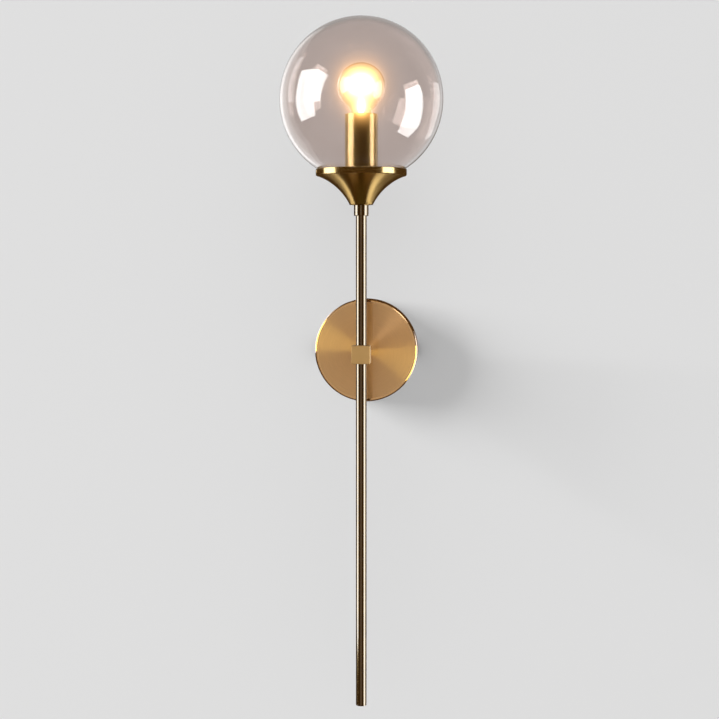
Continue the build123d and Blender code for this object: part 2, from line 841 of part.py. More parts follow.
# Terminal block on the bracket's tongue, its clamps and its screws
poles = [-pole_pitch, 0, pole_pitch]
rows = [strip_middle + strip_height / 4, strip_middle - strip_height / 4]
with BuildPart() as terminal_block:
    with BuildSketch(off_wall(bracket_thickness, 0, strip_middle)):
        Rectangle(strip_width, strip_height)
    extrude(amount=strip_depth)
    chamfer(terminal_block.edges().filter_by(Axis.Y), edge_break)
    with BuildSketch(Plane.XY.offset(-strip_drop)):
        with Locations(*[(x, -pole_depth) for x in poles]):
            Circle(clamp_diameter / 2 + thread_gap)
    extrude(amount=-strip_height, mode=Mode.SUBTRACT)
    with BuildSketch(off_wall(pole_depth)):
        with Locations(*[(x, z) for x in poles for z in rows]):
            Circle(well_diameter / 2)
    extrude(amount=strip_depth, mode=Mode.SUBTRACT)
    with BuildSketch(off_wall(bracket_thickness, pole_pitch / 2, strip_middle)):
        Circle(fixing_screw_diameter / 2 + hole_gap)
    extrude(amount=strip_depth, mode=Mode.SUBTRACT)

with BuildPart() as terminal_clamps:
    with BuildSketch(Plane.XY.offset(strip_middle - clamp_length / 2)):
        with Locations(*[(x, -pole_depth) for x in poles]):
            Circle(clamp_diameter / 2)
            Circle(clamp_bore / 2, mode=Mode.SUBTRACT)
    extrude(amount=clamp_length)
    with BuildSketch(off_wall(pole_depth)):
        with Locations(*[(x, z) for x in poles for z in rows]):
            Circle(clamp_screw_diameter / 2 + thread_gap)
    extrude(amount=clamp_diameter, mode=Mode.SUBTRACT)

screw_tip = pole_depth + wire_radius + thread_gap
with BuildPart() as terminal_screws:
    with BuildSketch(off_wall(screw_tip)):
        with Locations(*[(x, z) for x in poles for z in rows]):
            Circle(clamp_screw_diameter / 2)
    extrude(amount=strip_front - clamp_screw_sink - screw_tip)

terminal_fixing_screw = headed_screw(
    off_wall(strip_front, pole_pitch / 2, strip_middle), fixing_screw_diameter,
    strip_front - thread_gap, fixing_screw_head, fixing_screw_head_height, slot_width_small,
)

# Earth screw, lug and wire
lug_face = bracket_thickness + lug_thickness
earth_screw = headed_screw(
    off_wall(lug_face, -earth_offset, 0), earth_screw_diameter,
    lug_face - thread_gap, earth_screw_head, earth_screw_head_height,
)
barrel_depth = bracket_thickness + lug_barrel / 2 + thread_gap
lug_neck_level = -earth_screw_diameter / 2 - lug_neck_height
barrel_end = lug_neck_level - lug_barrel_step - lug_barrel_length
with BuildPart() as earth_lug:
    with BuildSketch(off_wall(bracket_thickness, -earth_offset, 0)):
        Circle(lug_diameter / 2)
        with Locations((0, lug_neck_level)):
            Rectangle(lug_neck_width, lug_neck_height)
        Circle(earth_screw_diameter / 2 + hole_gap, mode=Mode.SUBTRACT)
    extrude(amount=lug_thickness)
    with BuildSketch(Plane(origin=(-earth_offset, -barrel_depth, barrel_end), z_dir=(0, 0, 1))):
        Circle(lug_barrel / 2)
    extrude(amount=lug_barrel_length)
    with BuildSketch(Plane(origin=(-earth_offset, -barrel_depth, barrel_end), z_dir=(0, 0, 1))):
        Circle(wire_radius + thread_gap)
    extrude(amount=wire_grip, mode=Mode.SUBTRACT)

wire_end = -strip_drop - wire_grip
earth_wire = wire_along(
    [
        (-earth_offset, -barrel_depth, barrel_end + wire_grip - thread_gap),
        (-earth_offset, -barrel_depth, barrel_end - earth_lug_run),
        (-pole_pitch, -pole_depth, -strip_drop + earth_strip_run),
        (-pole_pitch, -pole_depth, wire_end),
    ],
    [earth_bend, earth_bend],
)

# Live and neutral wires: terminal block, nipple, post, block, rod and lampholder
spread_level = -strip_drop + spread_rise
wire_live = wire_along(
    [
        (pole_pitch, -pole_depth, wire_end),
        (pole_pitch, -pole_depth, spread_level),
        (wire_offset, -pole_depth, 0),
        (wire_offset, -rod_reach, 0),
        (wire_offset, -rod_reach, terminal_base + wire_grip),
    ],
    [wire_bend, wire_bend, wire_bend],
)
turn_level = base_top + turn_rise
wire_neutral = wire_along(
    [
        (0, -pole_depth, wire_end),
        (0, -pole_depth, spread_level),
        (-wire_offset, -pole_depth, 0),
        (-wire_offset, -rod_reach, 0),
        (-wire_offset, -rod_reach, turn_level),
        (-neutral_offset, -rod_reach, turn_level + turn_climb),
        (-neutral_offset, -rod_reach, terminal_base + wire_grip),
    ],
    [wire_bend, wire_bend, wire_bend, turn_bend, turn_bend],
)

pieces = {
    "wall_bracket": wall_bracket,
    "canopy": canopy,
    "canopy_screws": canopy_screws,
    "canopy_nipple": canopy_nipple,
    "canopy_washer": canopy_washer,
    "canopy_nut": canopy_nut,
    "standoff_post": standoff_post,
    "rod_block": rod_block,
    "upper_rod": upper_rod,
    "lower_rod": lower_rod,
    "rod_end_plug": rod_end_plug,
    "rod_collar": rod_collar,
    "gallery_nipple": gallery_nipple,
    "gallery_cup": gallery_cup,
    "gallery_ring": gallery_ring,
    "gallery_washer": gallery_washer,
    "gallery_nut": gallery_nut,
    "gallery_plate": gallery_plate,
    "globe_gasket": globe_gasket,
    "gallery_screw_right": grubs[0],
    "gallery_screw_back": grubs[1],
    "gallery_screw_left": grubs[2],
    "globe": globe,
    "holder_base": holder_base,
    "holder_body": holder_body,
    "holder_shell": holder_shell,
    "holder_contact": holder_contact,
    "holder_terminals": holder_terminals,
    "holder_terminal_screws": holder_terminal_screws,
    "socket_sleeve": socket_sleeve,
    "bulb_tip": bulb_tip,
    "bulb_insulator": bulb_insulator,
    "bulb_cap": bulb_cap,
    "bulb_glass": bulb_glass,
    "bulb_stem": bulb_stem,
    "bulb_leads": bulb_leads,
    "bulb_filament": bulb_filament,
    "terminal_block": terminal_block,
    "terminal_clamps": terminal_clamps,
    "terminal_screws": terminal_screws,
    "terminal_fixing_screw": terminal_fixing_screw,
    "earth_screw": earth_screw,
    "earth_lug": earth_lug,
    "earth_wire": earth_wire,
    "wire_live": wire_live,
    "wire_neutral": wire_neutral,
}

os.makedirs("parts", exist_ok=True)
for label, piece in pieces.items():
    piece.part.label = label
    export_step(piece.part, f"parts/{label}.step")
print(len(pieces), "pieces, rim top", round(rim_top, 2), "globe centre", round(globe_height, 2))
print("plate top", round(plate_top, 2), "neck", round(neck_base, 2), round(neck_top, 2))
print("sleeve top", round(sleeve_top, 2), "bulb centre", round(bulb_height, 2))
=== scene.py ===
# %% [markdown]
# # A wall sconce in brass and smoked glass
# A round canopy on the wall carries a post, a square block and a long thin rod. On top of the rod a
# trumpet-shaped gallery holds a clear lamp inside a lightly smoked globe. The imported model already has
# every piece at its real size and place, so this lesson only dresses it: smooth surfaces for what shows,
# and a finish for every piece, inside and out.

# %% Load the frame
import json
import math

import bpy
import numpy as np
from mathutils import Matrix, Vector

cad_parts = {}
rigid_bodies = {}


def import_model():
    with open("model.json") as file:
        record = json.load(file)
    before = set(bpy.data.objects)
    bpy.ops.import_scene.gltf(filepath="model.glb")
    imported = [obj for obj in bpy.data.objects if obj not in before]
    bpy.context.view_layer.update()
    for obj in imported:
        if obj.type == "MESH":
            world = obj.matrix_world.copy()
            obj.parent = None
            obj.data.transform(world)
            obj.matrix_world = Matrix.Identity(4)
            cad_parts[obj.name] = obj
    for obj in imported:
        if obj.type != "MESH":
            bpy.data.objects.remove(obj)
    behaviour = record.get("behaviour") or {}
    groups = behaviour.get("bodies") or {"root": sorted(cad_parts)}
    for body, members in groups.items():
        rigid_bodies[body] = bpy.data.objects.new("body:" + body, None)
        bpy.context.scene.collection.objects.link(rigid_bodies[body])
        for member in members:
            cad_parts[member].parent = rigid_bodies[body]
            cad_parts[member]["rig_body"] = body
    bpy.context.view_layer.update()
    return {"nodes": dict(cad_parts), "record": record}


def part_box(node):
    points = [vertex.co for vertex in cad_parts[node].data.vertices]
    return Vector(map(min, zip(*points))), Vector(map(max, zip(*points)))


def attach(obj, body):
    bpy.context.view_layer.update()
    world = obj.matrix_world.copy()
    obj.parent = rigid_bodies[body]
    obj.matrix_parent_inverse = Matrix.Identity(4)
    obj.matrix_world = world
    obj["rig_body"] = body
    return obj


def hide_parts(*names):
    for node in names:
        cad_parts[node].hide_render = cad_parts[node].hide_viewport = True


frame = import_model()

scene = bpy.context.scene
mm = 0.001
slot_of = {part["node"]: part["material_slot"] for part in frame["record"]["subparts"]}

# %% [markdown]
# Nearly everything on this lamp comes off a lathe, so a piece is an outline, a list of (radius, height)
# points, spun round an axis. No real edge is quite sharp, and a round one catches the light. So corners
# become small arcs, with a point just beside each that keeps the next flat flat when shaded smooth.

# %% Outlines
def unit(vectors):
    """Vectors scaled to length 1, row by row."""
    return vectors / np.maximum(np.linalg.norm(vectors, axis=1, keepdims=True), 1e-12)


def rounded(corners, radii, steps=6, ease=0.12 * mm):
    """Outline with its corners rounded.

    Each corner becomes an arc that touches both of its sides: the arc starts radius / tan(half angle) from
    the corner, and its centre lies on the bisector, radius / sin(half angle) away. Radius 0 keeps a corner.
    """
    p = np.asarray(corners, float)
    r = np.array(np.broadcast_to(radii, len(p)), float)
    back = unit(np.roll(p, 1, 0) - p)
    ahead = unit(np.roll(p, -1, 0) - p)
    half = np.arccos(np.clip((back * ahead).sum(1), -1, 1)) / 2
    centre = p + unit(back + ahead) * (r / np.sin(half))[:, None]
    reach = (r / np.tan(half))[:, None]
    start = p + back * reach
    stop = p + ahead * reach
    first = np.arctan2(*(start - centre).T[::-1])
    last = np.arctan2(*(stop - centre).T[::-1])
    sweep = (last - first + np.pi) % (2 * np.pi) - np.pi
    angle = first[:, None] + sweep[:, None] * np.linspace(0, 1, steps + 1)
    arcs = centre[:, None] + r[:, None, None] * np.stack([np.cos(angle), np.sin(angle)], -1)
    before = (start + back * ease)[:, None]
    after = (stop + ahead * ease)[:, None]
    rows = np.concatenate([before, arcs, after], 1)
    rows[r == 0, 0] = p[r == 0]
    keep = np.ones(rows.shape[:2], bool)
    keep[r == 0, 1:] = False
    return rows[keep]


def arc(centre, radius, first, last, count):
    """Points on a circle: centre + radius (cos, sin) of an angle that runs from first to last in radians."""
    angle = np.linspace(first, last, count)
    return np.stack([centre[0] + radius * np.cos(angle), centre[1] + radius * np.sin(angle)], -1)


def stair(radii, levels):
    """Corners of a stepped outline: at each level it goes straight from one radius to the next."""
    return np.stack([np.repeat(radii, 2)[1:-1], np.repeat(levels, 2)], -1)


print("a square with round corners has", len(rounded(stair([1, 2, 1], [0, 1]), 0.1)), "points")

# %% [markdown]
# Spinning an outline gives a grid of points: one row for each outline point, one column for each angle.
# Angles run from the front towards the right. The grid becomes a mesh of four-sided faces, with a UV map
# whose first direction runs along the outline, and the faces are turned outwards by the sign of the volume.

# %% Spin an outline and skin the grid
rod_low, rod_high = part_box("upper_rod")
rod_y = (rod_low.y + rod_high.y) / 2
rod_radius = (rod_high.x - rod_low.x) / 2


def full_turn(count):
    """Even angles round a full turn."""
    return np.linspace(0, 2 * np.pi, count, endpoint=False)


round_fine, round_small = full_turn(160), full_turn(64)


def around_rod(r, level, a):
    """Points about the rod's axis: x = r sin a, y = axis - r cos a, z = level."""
    return np.stack(np.broadcast_arrays(r * np.sin(a), rod_y - r * np.cos(a), level), -1)


def around_post(r, depth, a):
    """Points about the line straight out of the wall: x = r sin a, y = depth, z = r cos a."""
    return np.stack(np.broadcast_arrays(r * np.sin(a), depth, r * np.cos(a)), -1)


def skin(name, grid, ring=True):
    """Mesh over a grid of points. Columns close round on themselves, and rows do too where ring is true.

    Where the end rows shrink to a point, the doubled points are merged, which closes the pole.
    """
    m, n = grid.shape[:2]
    i = np.arange(m if ring else m - 1)[:, None]
    j = np.arange(n)[None, :]
    i2, j2 = (i + 1) % m, (j + 1) % n
    quads = np.stack([i * n + j, i2 * n + j, i2 * n + j2, i * n + j2], -1).reshape(-1, 4)
    points = grid.reshape(-1, 3)
    run = np.linalg.norm(np.diff(grid[:, 0], axis=0, append=grid[:1, 0]), axis=1).cumsum()
    along = np.concatenate([[0.0], run])
    u = np.stack([along[i], along[i + 1], along[i + 1], along[i]], -1) + 0 * j[..., None]
    v = np.stack([j, j, j + 1, j + 1], -1) / n + 0 * i[..., None]
    uv = np.stack([u, v], -1).reshape(-1, 4, 2)
    a, b, c, d = (points[quads[:, k]] for k in range(4))
    volume = (np.cross(a, b) * c).sum() + (np.cross(a, c) * d).sum()
    if volume < 0:
        quads, uv = quads[:, ::-1], uv[:, ::-1]
    index, inverse = np.unique(np.round(points, 8), axis=0, return_index=True, return_inverse=True)[1:]
    quads = inverse.reshape(-1)[quads]
    single = quads != np.roll(quads, 1, 1)
    sides = single.sum(1)
    mesh = bpy.data.meshes.new(name)
    mesh.vertices.add(len(index))
    mesh.vertices.foreach_set("co", points[index].astype(np.float32).ravel())
    mesh.loops.add(int(sides.sum()))
    mesh.loops.foreach_set("vertex_index", quads[single].astype(np.int32))
    mesh.polygons.add(len(quads))
    mesh.polygons.foreach_set("loop_start", (sides.cumsum() - sides).astype(np.int32))
    mesh.update(calc_edges=True)
    lay = mesh.uv_layers.new(name="lay")
    lay.data.foreach_set("uv", uv[single].astype(np.float32).ravel())
    mesh.shade_smooth()
    mesh.update()
    return mesh


def add_object(name, data):
    """New object in the scene, at the origin."""
    obj = bpy.data.objects.new(name, data)
    scene.collection.objects.link(obj)
    return obj


def hide(obj, *kinds):
    """Makes an object unseen by some kinds of rays."""
    for kind in kinds:
        setattr(obj, "visible_" + kind, False)


made = {}


def place(name, grid, node, finish, ring=True):
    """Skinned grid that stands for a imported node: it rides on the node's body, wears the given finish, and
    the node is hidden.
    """
    mesh = skin(name, grid, ring)
    obj = add_object(name, mesh)
    mesh.materials.append(finish)
    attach(obj, frame["nodes"][node]["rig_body"])
    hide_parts(node)
    made[name] = obj
    print(name, len(mesh.vertices), "points,", len(mesh.polygons), "faces")
    return obj


def turned(name, outline, node, finish, angles=round_fine, ring=True):
    """Piece turned about the rod: its outline, spun and skinned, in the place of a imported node."""
    return place(name, around_rod(outline[:, :1], outline[:, 1:], angles), node, finish, ring)


print("rod axis at y =", round(rod_y, 4), "radius", round(rod_radius, 4))

# %% [markdown]
# A finish is a small graph of shader nodes. The same few moves come back in each: read a place on the
# object, lay a noise there, and let it shift the colour, the roughness and the height a little.

# %% Shader helpers
noise_low, noise_high = 0.3, 0.7


def add_node(tree, kind, inputs=None, **options):
    """New shader node with its options set and its inputs filled by values or linked sockets."""
    node = tree.nodes.new("ShaderNode" + kind)
    for key, value in options.items():
        setattr(node, key, value)
    for key, value in (inputs or {}).items():
        if isinstance(value, bpy.types.NodeSocket):
            tree.links.new(value, node.inputs[key])
        else:
            node.inputs[key].default_value = value
    return node


def new_finish(name, **settings):
    """Material with plain values on the sockets of its own shader; returns it with its tree and shader."""
    material = bpy.data.materials.new(name)
    material.use_nodes = True
    shader = material.node_tree.nodes["Principled BSDF"]
    for key, value in settings.items():
        shader.inputs[key.replace("_", " ")].default_value = value
    return material, material.node_tree, shader


def math_of(kind, first, second):
    """Math node on two sockets, or on a socket and a number; returns its result."""
    tree = (second if isinstance(first, float) else first).id_data
    return add_node(tree, "Math", {0: first, 1: second}, operation=kind).outputs[0]


def vector_of(kind, first, second=None, scale=None):
    """Vector math node on a socket; gives a number for a length, distance or product, else a vector."""
    inputs = {0: first, 1: second, "Scale": scale}
    given = {key: value for key, value in inputs.items() if value is not None}
    outputs = add_node(first.id_data, "VectorMath", given, operation=kind).outputs
    return outputs["Value" if kind in ("LENGTH", "DISTANCE", "DOT_PRODUCT") else "Vector"]


def object_place(tree):
    """Place on the object in metres, in the frame that all the pieces share."""
    return add_node(tree, "TexCoord").outputs["Object"]


def grain(tree, scale, detail=4.0):
    """Noise between 0 and 1. Scale is its grains per metre: one number, or one each for X, Y and Z."""
    per_metre = np.broadcast_to(scale, 3).astype(float).tolist()
    lay = add_node(tree, "Mapping", {"Vector": object_place(tree), "Scale": per_metre})
    inputs = {"Vector": lay.outputs["Vector"], "Scale": 1.0, "Detail": detail, "Roughness": 0.55}
    return add_node(tree, "TexNoise", inputs).outputs["Fac"]


def between(factor, low, high, start=noise_low, stop=noise_high):
    """Maps a factor from a range, or else the one where noise mostly lies, to a range of values."""
    inputs = {"Value": factor, "From Min": start, "From Max": stop, "To Min": low, "To Max": high}
    return add_node(factor.id_data, "MapRange", inputs).outputs["Result"]


def ramp_of(factor, stops, blend="LINEAR"):
    """Colour ramp through (place, colour) pairs, read at a factor. One number for a colour is a grey."""
    ramp = add_node(factor.id_data, "ValToRGB", {"Fac": factor})
    ramp.color_ramp.interpolation = blend
    elements = ramp.color_ramp.elements
    filled = [(level, (*np.broadcast_to(colour, 3), 1.0)) for level, colour in stops]
    for level, colour in filled[1:-1]:
        elements.new(level).color = colour
    for end in (0, -1):
        elements[end].position, elements[end].color = filled[end]
    return ramp.outputs["Color"]


def blend_colours(factor, low, high):
    """Colour between low and high over the range where noise mostly lies."""
    return ramp_of(factor, [(noise_low, low), (noise_high, high)])


def vary(tree, shader, pattern, colours=None, rough=None, lift=None):
    """Lets a pattern shift a finish between two colours, in a range of roughness, and up by lift metres."""
    if colours:
        tree.links.new(blend_colours(pattern, *colours), shader.inputs["Base Color"])
    if rough:
        tree.links.new(between(pattern, *rough), shader.inputs["Roughness"])
    if lift:
        bump = add_node(tree, "Bump", {"Height": pattern, "Strength": 1.0, "Distance": lift})
        tree.links.new(bump.outputs["Normal"], shader.inputs["Normal"])


def stuff(name, scale, detail=4.0, colours=None, rough=None, lift=None, **settings):
    """Finish whose colour, roughness and height follow one even noise."""
    material, tree, shader = new_finish(name, **settings)
    vary(tree, shader, grain(tree, scale, detail), colours, rough, lift)
    return material


print("a pattern counts from", noise_low, "to", noise_high)

# %% [markdown]
# Brass is the main metal. The rods, their plug and the collar are polished and lacquered, so they mirror the
# lights in sharp stripes, and only faint drawing lines show. The block is satin, and the hidden fixings are
# plainly turned.

# %% Brass finishes
def brass(name, low, high, rough, scale, lift, metal=1.0):
    """Metal whose roughness and height follow one noise, and its colour a second, cloudy one."""
    material, tree, shader = new_finish(name, Metallic=metal)
    vary(tree, shader, grain(tree, 45, 2.0), colours=(low, high))
    vary(tree, shader, grain(tree, scale), rough=rough, lift=lift)
    return material


def lacquer(material, weight):
    """Clear glossy coat over a finish, set on the shader's own sockets."""
    coat = material.node_tree.nodes["Principled BSDF"].inputs
    coat["Coat Weight"].default_value = weight
    coat["Coat IOR"].default_value = 2.2
    coat["Coat Roughness"].default_value = 0.05


drawn = (900, 900, 12)
rod_brass = brass("rod brass", (0.27, 0.17, 0.055), (0.33, 0.21, 0.07), (0.07, 0.12), drawn, 1e-6)
lacquer(rod_brass, 1.0)
satin_brass = brass("satin brass", (0.56, 0.34, 0.14), (0.66, 0.41, 0.18), (0.50, 0.66), 2600, 9e-6, 0.6)
turned_brass = brass("turned brass", (0.66, 0.47, 0.20), (0.80, 0.60, 0.29), (0.22, 0.34), 900, 1e-6)
print("brass finishes:", rod_brass.name, satin_brass.name, turned_brass.name)

# %% [markdown]
# The two rods are drawn tubes of 10 mm, 1 mm thick. A tube is the outline of its wall, a thin rectangle,
# spun about the rod's axis. The lower rod is closed by a plug with a broken edge, whose outline starts and
# ends on the axis. The collar slips over the upper rod's end and covers the joint.

# %% Rods, plug and collar
tube_wall = 1.0 * mm
fine_round = 0.1 * mm
fit_gap = 0.05 * mm
rod_bore = rod_radius - tube_wall
for node in ("upper_rod", "lower_rod"):
    low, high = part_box(node)
    tube_corners = stair([rod_bore, rod_radius, rod_bore], [low.z, high.z])
    turned(node + "_tube", rounded(tube_corners, fine_round), node, rod_brass)

plug_low, plug_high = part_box("rod_end_plug")
plug_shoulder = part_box("lower_rod")[0].z
plug_shank = rod_bore - fit_gap
plug_corners = stair([0, rod_radius, plug_shank, 0], [plug_low.z, plug_shoulder, plug_high.z])
plug_outline = rounded(plug_corners, np.array([0, 0.3, 0.08, 0.05, 0.3, 0]) * mm)
turned("rod_plug", plug_outline, "rod_end_plug", rod_brass, round_small, ring=False)

collar_low, collar_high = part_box("rod_collar")
collar_radius = (collar_high.x - collar_low.x) / 2
collar_bore = rod_radius + fit_gap
collar_radii = [collar_bore, collar_radius, rod_bore, collar_bore]
collar_corners = stair(collar_radii, [collar_low.z, collar_high.z, rod_high.z])
collar_outline = rounded(collar_corners, np.array([0.1, 0.5, 0.5, 0.1, 0.1, 0.1]) * mm)
turned("collar", collar_outline, "rod_collar", rod_brass)

# %% [markdown]
# The canopy, the post, the gallery cup, its ring and the sleeve keep the fine rings that a brush leaves on
# the lathe. Each tiny groove mirrors a light only where it runs square to it, so the light is drawn out
# across the grooves: two bright fans on the flat canopy, two long stripes down the cup. The shader's
# anisotropy does the same. The first direction of the UV map tells it the way across the grooves.

# %% Ring-brushed brass
about_wall, about_rod = (1, 0, 1), (1, 1, 0)
groove_height = 1e-6


def ring_grooves(tree, centre, flatten, fine):
    """Noise laid out as rings about an axis: fine across the grooves, slow along them.

    The place, measured from the centre, is flattened along the axis. Its length is the radius and its
    direction tells the angle, as a unit vector, so the pattern meets itself after a full turn. Radius plus
    height, times fine, is the way across the grooves.
    """
    shift = vector_of("SUBTRACT", object_place(tree), centre)
    flat = vector_of("MULTIPLY", shift, flatten)
    rise = vector_of("SUBTRACT", shift, flat)
    height = vector_of("DOT_PRODUCT", rise, (1, 1, 1))
    across = math_of("ADD", vector_of("LENGTH", flat), height)
    slow = vector_of("SCALE", vector_of("NORMALIZE", flat), scale=3.0)
    spread = add_node(tree, "CombineXYZ", {"X": across, "Y": across, "Z": across}).outputs[0]
    rings = vector_of("SCALE", spread, scale=fine)
    noise = {"Vector": vector_of("ADD", rings, slow), "Scale": 1.0, "Detail": 3.0, "Roughness": 0.6}
    return add_node(tree, "TexNoise", noise).outputs["Fac"]


def ring_brushed(name, low, high, rough, stretch, centre, flatten, fine):
    """Brass brushed in rings: colour, roughness and height follow the grooves, highlights cross them."""
    material, tree, shader = new_finish(name, Metallic=1.0, Anisotropic=stretch)
    vary(tree, shader, ring_grooves(tree, centre, flatten, fine), (low, high), rough, groove_height)
    tangent = add_node(tree, "Tangent", direction_type="UV_MAP", uv_map="lay")
    tree.links.new(tangent.outputs[0], shader.inputs["Tangent"])
    return material


on_wall, on_rod = ((0.0, 0.0, 0.0), about_wall), ((0.0, rod_y, 0.0), about_rod)
ring_looks = {
    "canopy brass": ((0.80, 0.47, 0.22), (0.88, 0.53, 0.25), (0.32, 0.36), 1.0, *on_wall, 1500.0),
    "gallery brass": ((0.52, 0.355, 0.13), (0.62, 0.42, 0.155), (0.30, 0.34), 1.0, *on_rod, 3000.0),
    "band brass": ((0.62, 0.44, 0.18), (0.74, 0.53, 0.22), (0.24, 0.28), 0.9, *on_rod, 3000.0),
    "sleeve brass": ((0.30, 0.215, 0.075), (0.39, 0.28, 0.10), (0.29, 0.33), 0.5, *on_rod, 3000.0),
    "post brass": ((0.66, 0.47, 0.20), (0.76, 0.56, 0.26), (0.16, 0.22), 0.6, *on_wall, 3000.0),
}
ring_brass = {name: ring_brushed(name, *look) for name, look in ring_looks.items()}
for name, weight in {"sleeve brass": 0.4, "canopy brass": 0.35, "band brass": 0.5}.items():
    lacquer(ring_brass[name], weight)
print("ring-brushed finishes:", ", ".join(ring_brass))

# %% [markdown]
# The post stands out from the middle of the canopy and enters the back of the block on a spigot. It is
# bored for the wires, and its back end is widened for the threaded nipple.

# %% Post
post_low, post_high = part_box("standoff_post")
post_radius = (post_high.x - post_low.x) / 2
block_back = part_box("rod_block")[1].y
spigot_radius = 4.0 * mm
wire_bore = 2.75 * mm
nipple_bore = 5.05 * mm
nipple_depth = 12.25 * mm
post_radii = [nipple_bore, post_radius, spigot_radius, wire_bore, nipple_bore]
post_depths = [post_high.y, block_back, post_low.y, post_high.y - nipple_depth]
outline = rounded(stair(post_radii, post_depths), fine_round)
grid = around_post(outline[:, :1], outline[:, 1:], round_fine)
place("post", grid, "standoff_post", ring_brass["post brass"])

# %% [markdown]
# A buff takes the brushed grain off the canopy's rounded edge, so the edge is smoother than the flat. The
# roughness from the grooves is multiplied by a step that falls with the distance from the middle.

# %% Buffed edge of the canopy
canopy_radius = 50.0 * mm
canopy_edge = 3.0 * mm
edge_start = canopy_radius - canopy_edge
buff_fade = 0.5 * mm
buffed_share = 0.4
tree = ring_brass["canopy brass"].node_tree
shader = tree.nodes["Principled BSDF"]
brushed = shader.inputs["Roughness"].links[0].from_socket
reach = vector_of("LENGTH", vector_of("MULTIPLY", object_place(tree), about_wall))
buffed = between(reach, 1.0, buffed_share, edge_start, edge_start + buff_fade)
tree.links.new(math_of("MULTIPLY", brushed, buffed), shader.inputs["Roughness"])
print("edge buffed from", round(edge_start, 4), "m outwards")

# %% [markdown]
# The canopy's side has a hole on the left and one on the right, where the grub screws of the bracket show.
# A round hole fits a square grid if the square rings of points around its middle are pulled onto circles,
# more the nearer they are to the hole. Inside the hole the surface is sunk by nearly the wall's thickness.

# %% Round sinks in a spun wall
def sink_steps(hole, reach):
    """Distances from a hole's middle for the rows or columns of its patch, closest beside its edge."""
    half = np.concatenate([np.linspace(0, hole * 0.97, 6)[1:], np.linspace(hole, reach, 5)])
    return np.concatenate([-half[::-1], [0.0], half])


def with_sinks(base, middles, steps):
    """Angles for a full turn: even ones, with the steps of a hole's patch round each of the middles."""
    near = np.abs((base[:, None] - middles + np.pi) % (2 * np.pi) - np.pi).min(1) < steps.max() * 1.2
    return np.sort(np.concatenate([base[~near], (middles[:, None] + steps).ravel() % (2 * np.pi)]))


def sunk_wall(outline, wall_radius, count, middles, level, hole, reach, depth):
    """Radius, height and angle of each point of a spun outline, with sinks in its outermost wall.

    s and t are the distances round and along the wall from a hole's middle, and q the larger of the two,
    which is constant on square rings. A point moves to (s, t) times (1 - w + w q / d), d being its true
    distance and w falling from 1 at the hole to 0 at the edge of the patch.
    """
    angles = with_sinks(full_turn(count), middles, sink_steps(hole, reach) / wall_radius)
    radii = np.repeat(outline[:, :1], len(angles), 1)
    heights = np.repeat(outline[:, 1:], len(angles), 1)
    bend = (angles[:, None] - middles + np.pi) % (2 * np.pi) - np.pi
    s = radii * np.take_along_axis(bend, np.abs(bend).argmin(1)[:, None], 1)[:, 0]
    t = heights - level
    q = np.maximum(np.abs(s), np.abs(t))
    d = np.maximum(np.hypot(s, t), 1e-9)
    w = np.clip((reach - q) / (reach - hole), 0, 1)
    pull = np.where(q < 1e-9, 0.0, w * (q / d - 1))
    near = (q < reach) & (radii > wall_radius - 0.01 * mm)
    sunk = radii - np.where(near & (q < hole * 0.999), depth, 0.0)
    turn = angles + np.where(near, s * pull / radii, 0.0)
    return sunk, heights + np.where(near, t * pull, 0.0), turn


print("the patch of a sink has", len(sink_steps(1.0, 2.0)), "rows and columns")

# %% [markdown]
# The canopy itself: the outline runs from the nipple hole out to the rounded edge, back along the side to
# the wall, and inside again. Extra rings on the front keep the direction of the grooves exact.

# %% Canopy
canopy_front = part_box("canopy")[0].y
canopy_wall = 1.2 * mm
canopy_inside = canopy_radius - canopy_wall
canopy_back = canopy_front + canopy_wall
nipple_hole = 5.25 * mm
screw_low, screw_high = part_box("canopy_screws")
screw_level = (screw_low.y + screw_high.y) / 2
canopy_hole = 2.25 * mm
canopy_patch = 4.0 * mm
front_rings = np.linspace(nipple_hole, edge_start, 10)[1:-1]
side_rows = screw_level + sink_steps(canopy_hole, canopy_patch)
canopy_corners = (
    [(nipple_hole, canopy_front)]
    + [(r, canopy_front) for r in front_rings]
    + [(canopy_radius, canopy_front)]
    + [(canopy_radius, y) for y in side_rows]
    + [(canopy_radius, 0.0), (canopy_inside, 0.0), (canopy_inside, canopy_back), (nipple_hole, canopy_back)]
)
canopy_rounds = np.zeros(len(canopy_corners))
canopy_rounds[[0, -1]] = 0.15 * mm
canopy_rounds[len(front_rings) + 1] = canopy_edge
canopy_rounds[-4:-1] = [0.25 * mm, 0.25 * mm, canopy_edge - canopy_wall]
outline = rounded(canopy_corners, canopy_rounds, steps=10)
left_and_right = np.array([-0.5, 0.5]) * np.pi % (2 * np.pi)
canopy_columns = 192
hole_depth = 0.9 * canopy_wall
canopy_sink = (screw_level, canopy_hole, canopy_patch, hole_depth)
grid = around_post(*sunk_wall(outline, canopy_radius, canopy_columns, left_and_right, *canopy_sink))
place("canopy_dish", grid, "canopy", ring_brass["canopy brass"])

# %% [markdown]
# The gallery cup is a trumpet: its outside is one arc of 54 mm whose centre lies outside and below, and its
# inside is the same arc 1.2 mm further out from that centre.

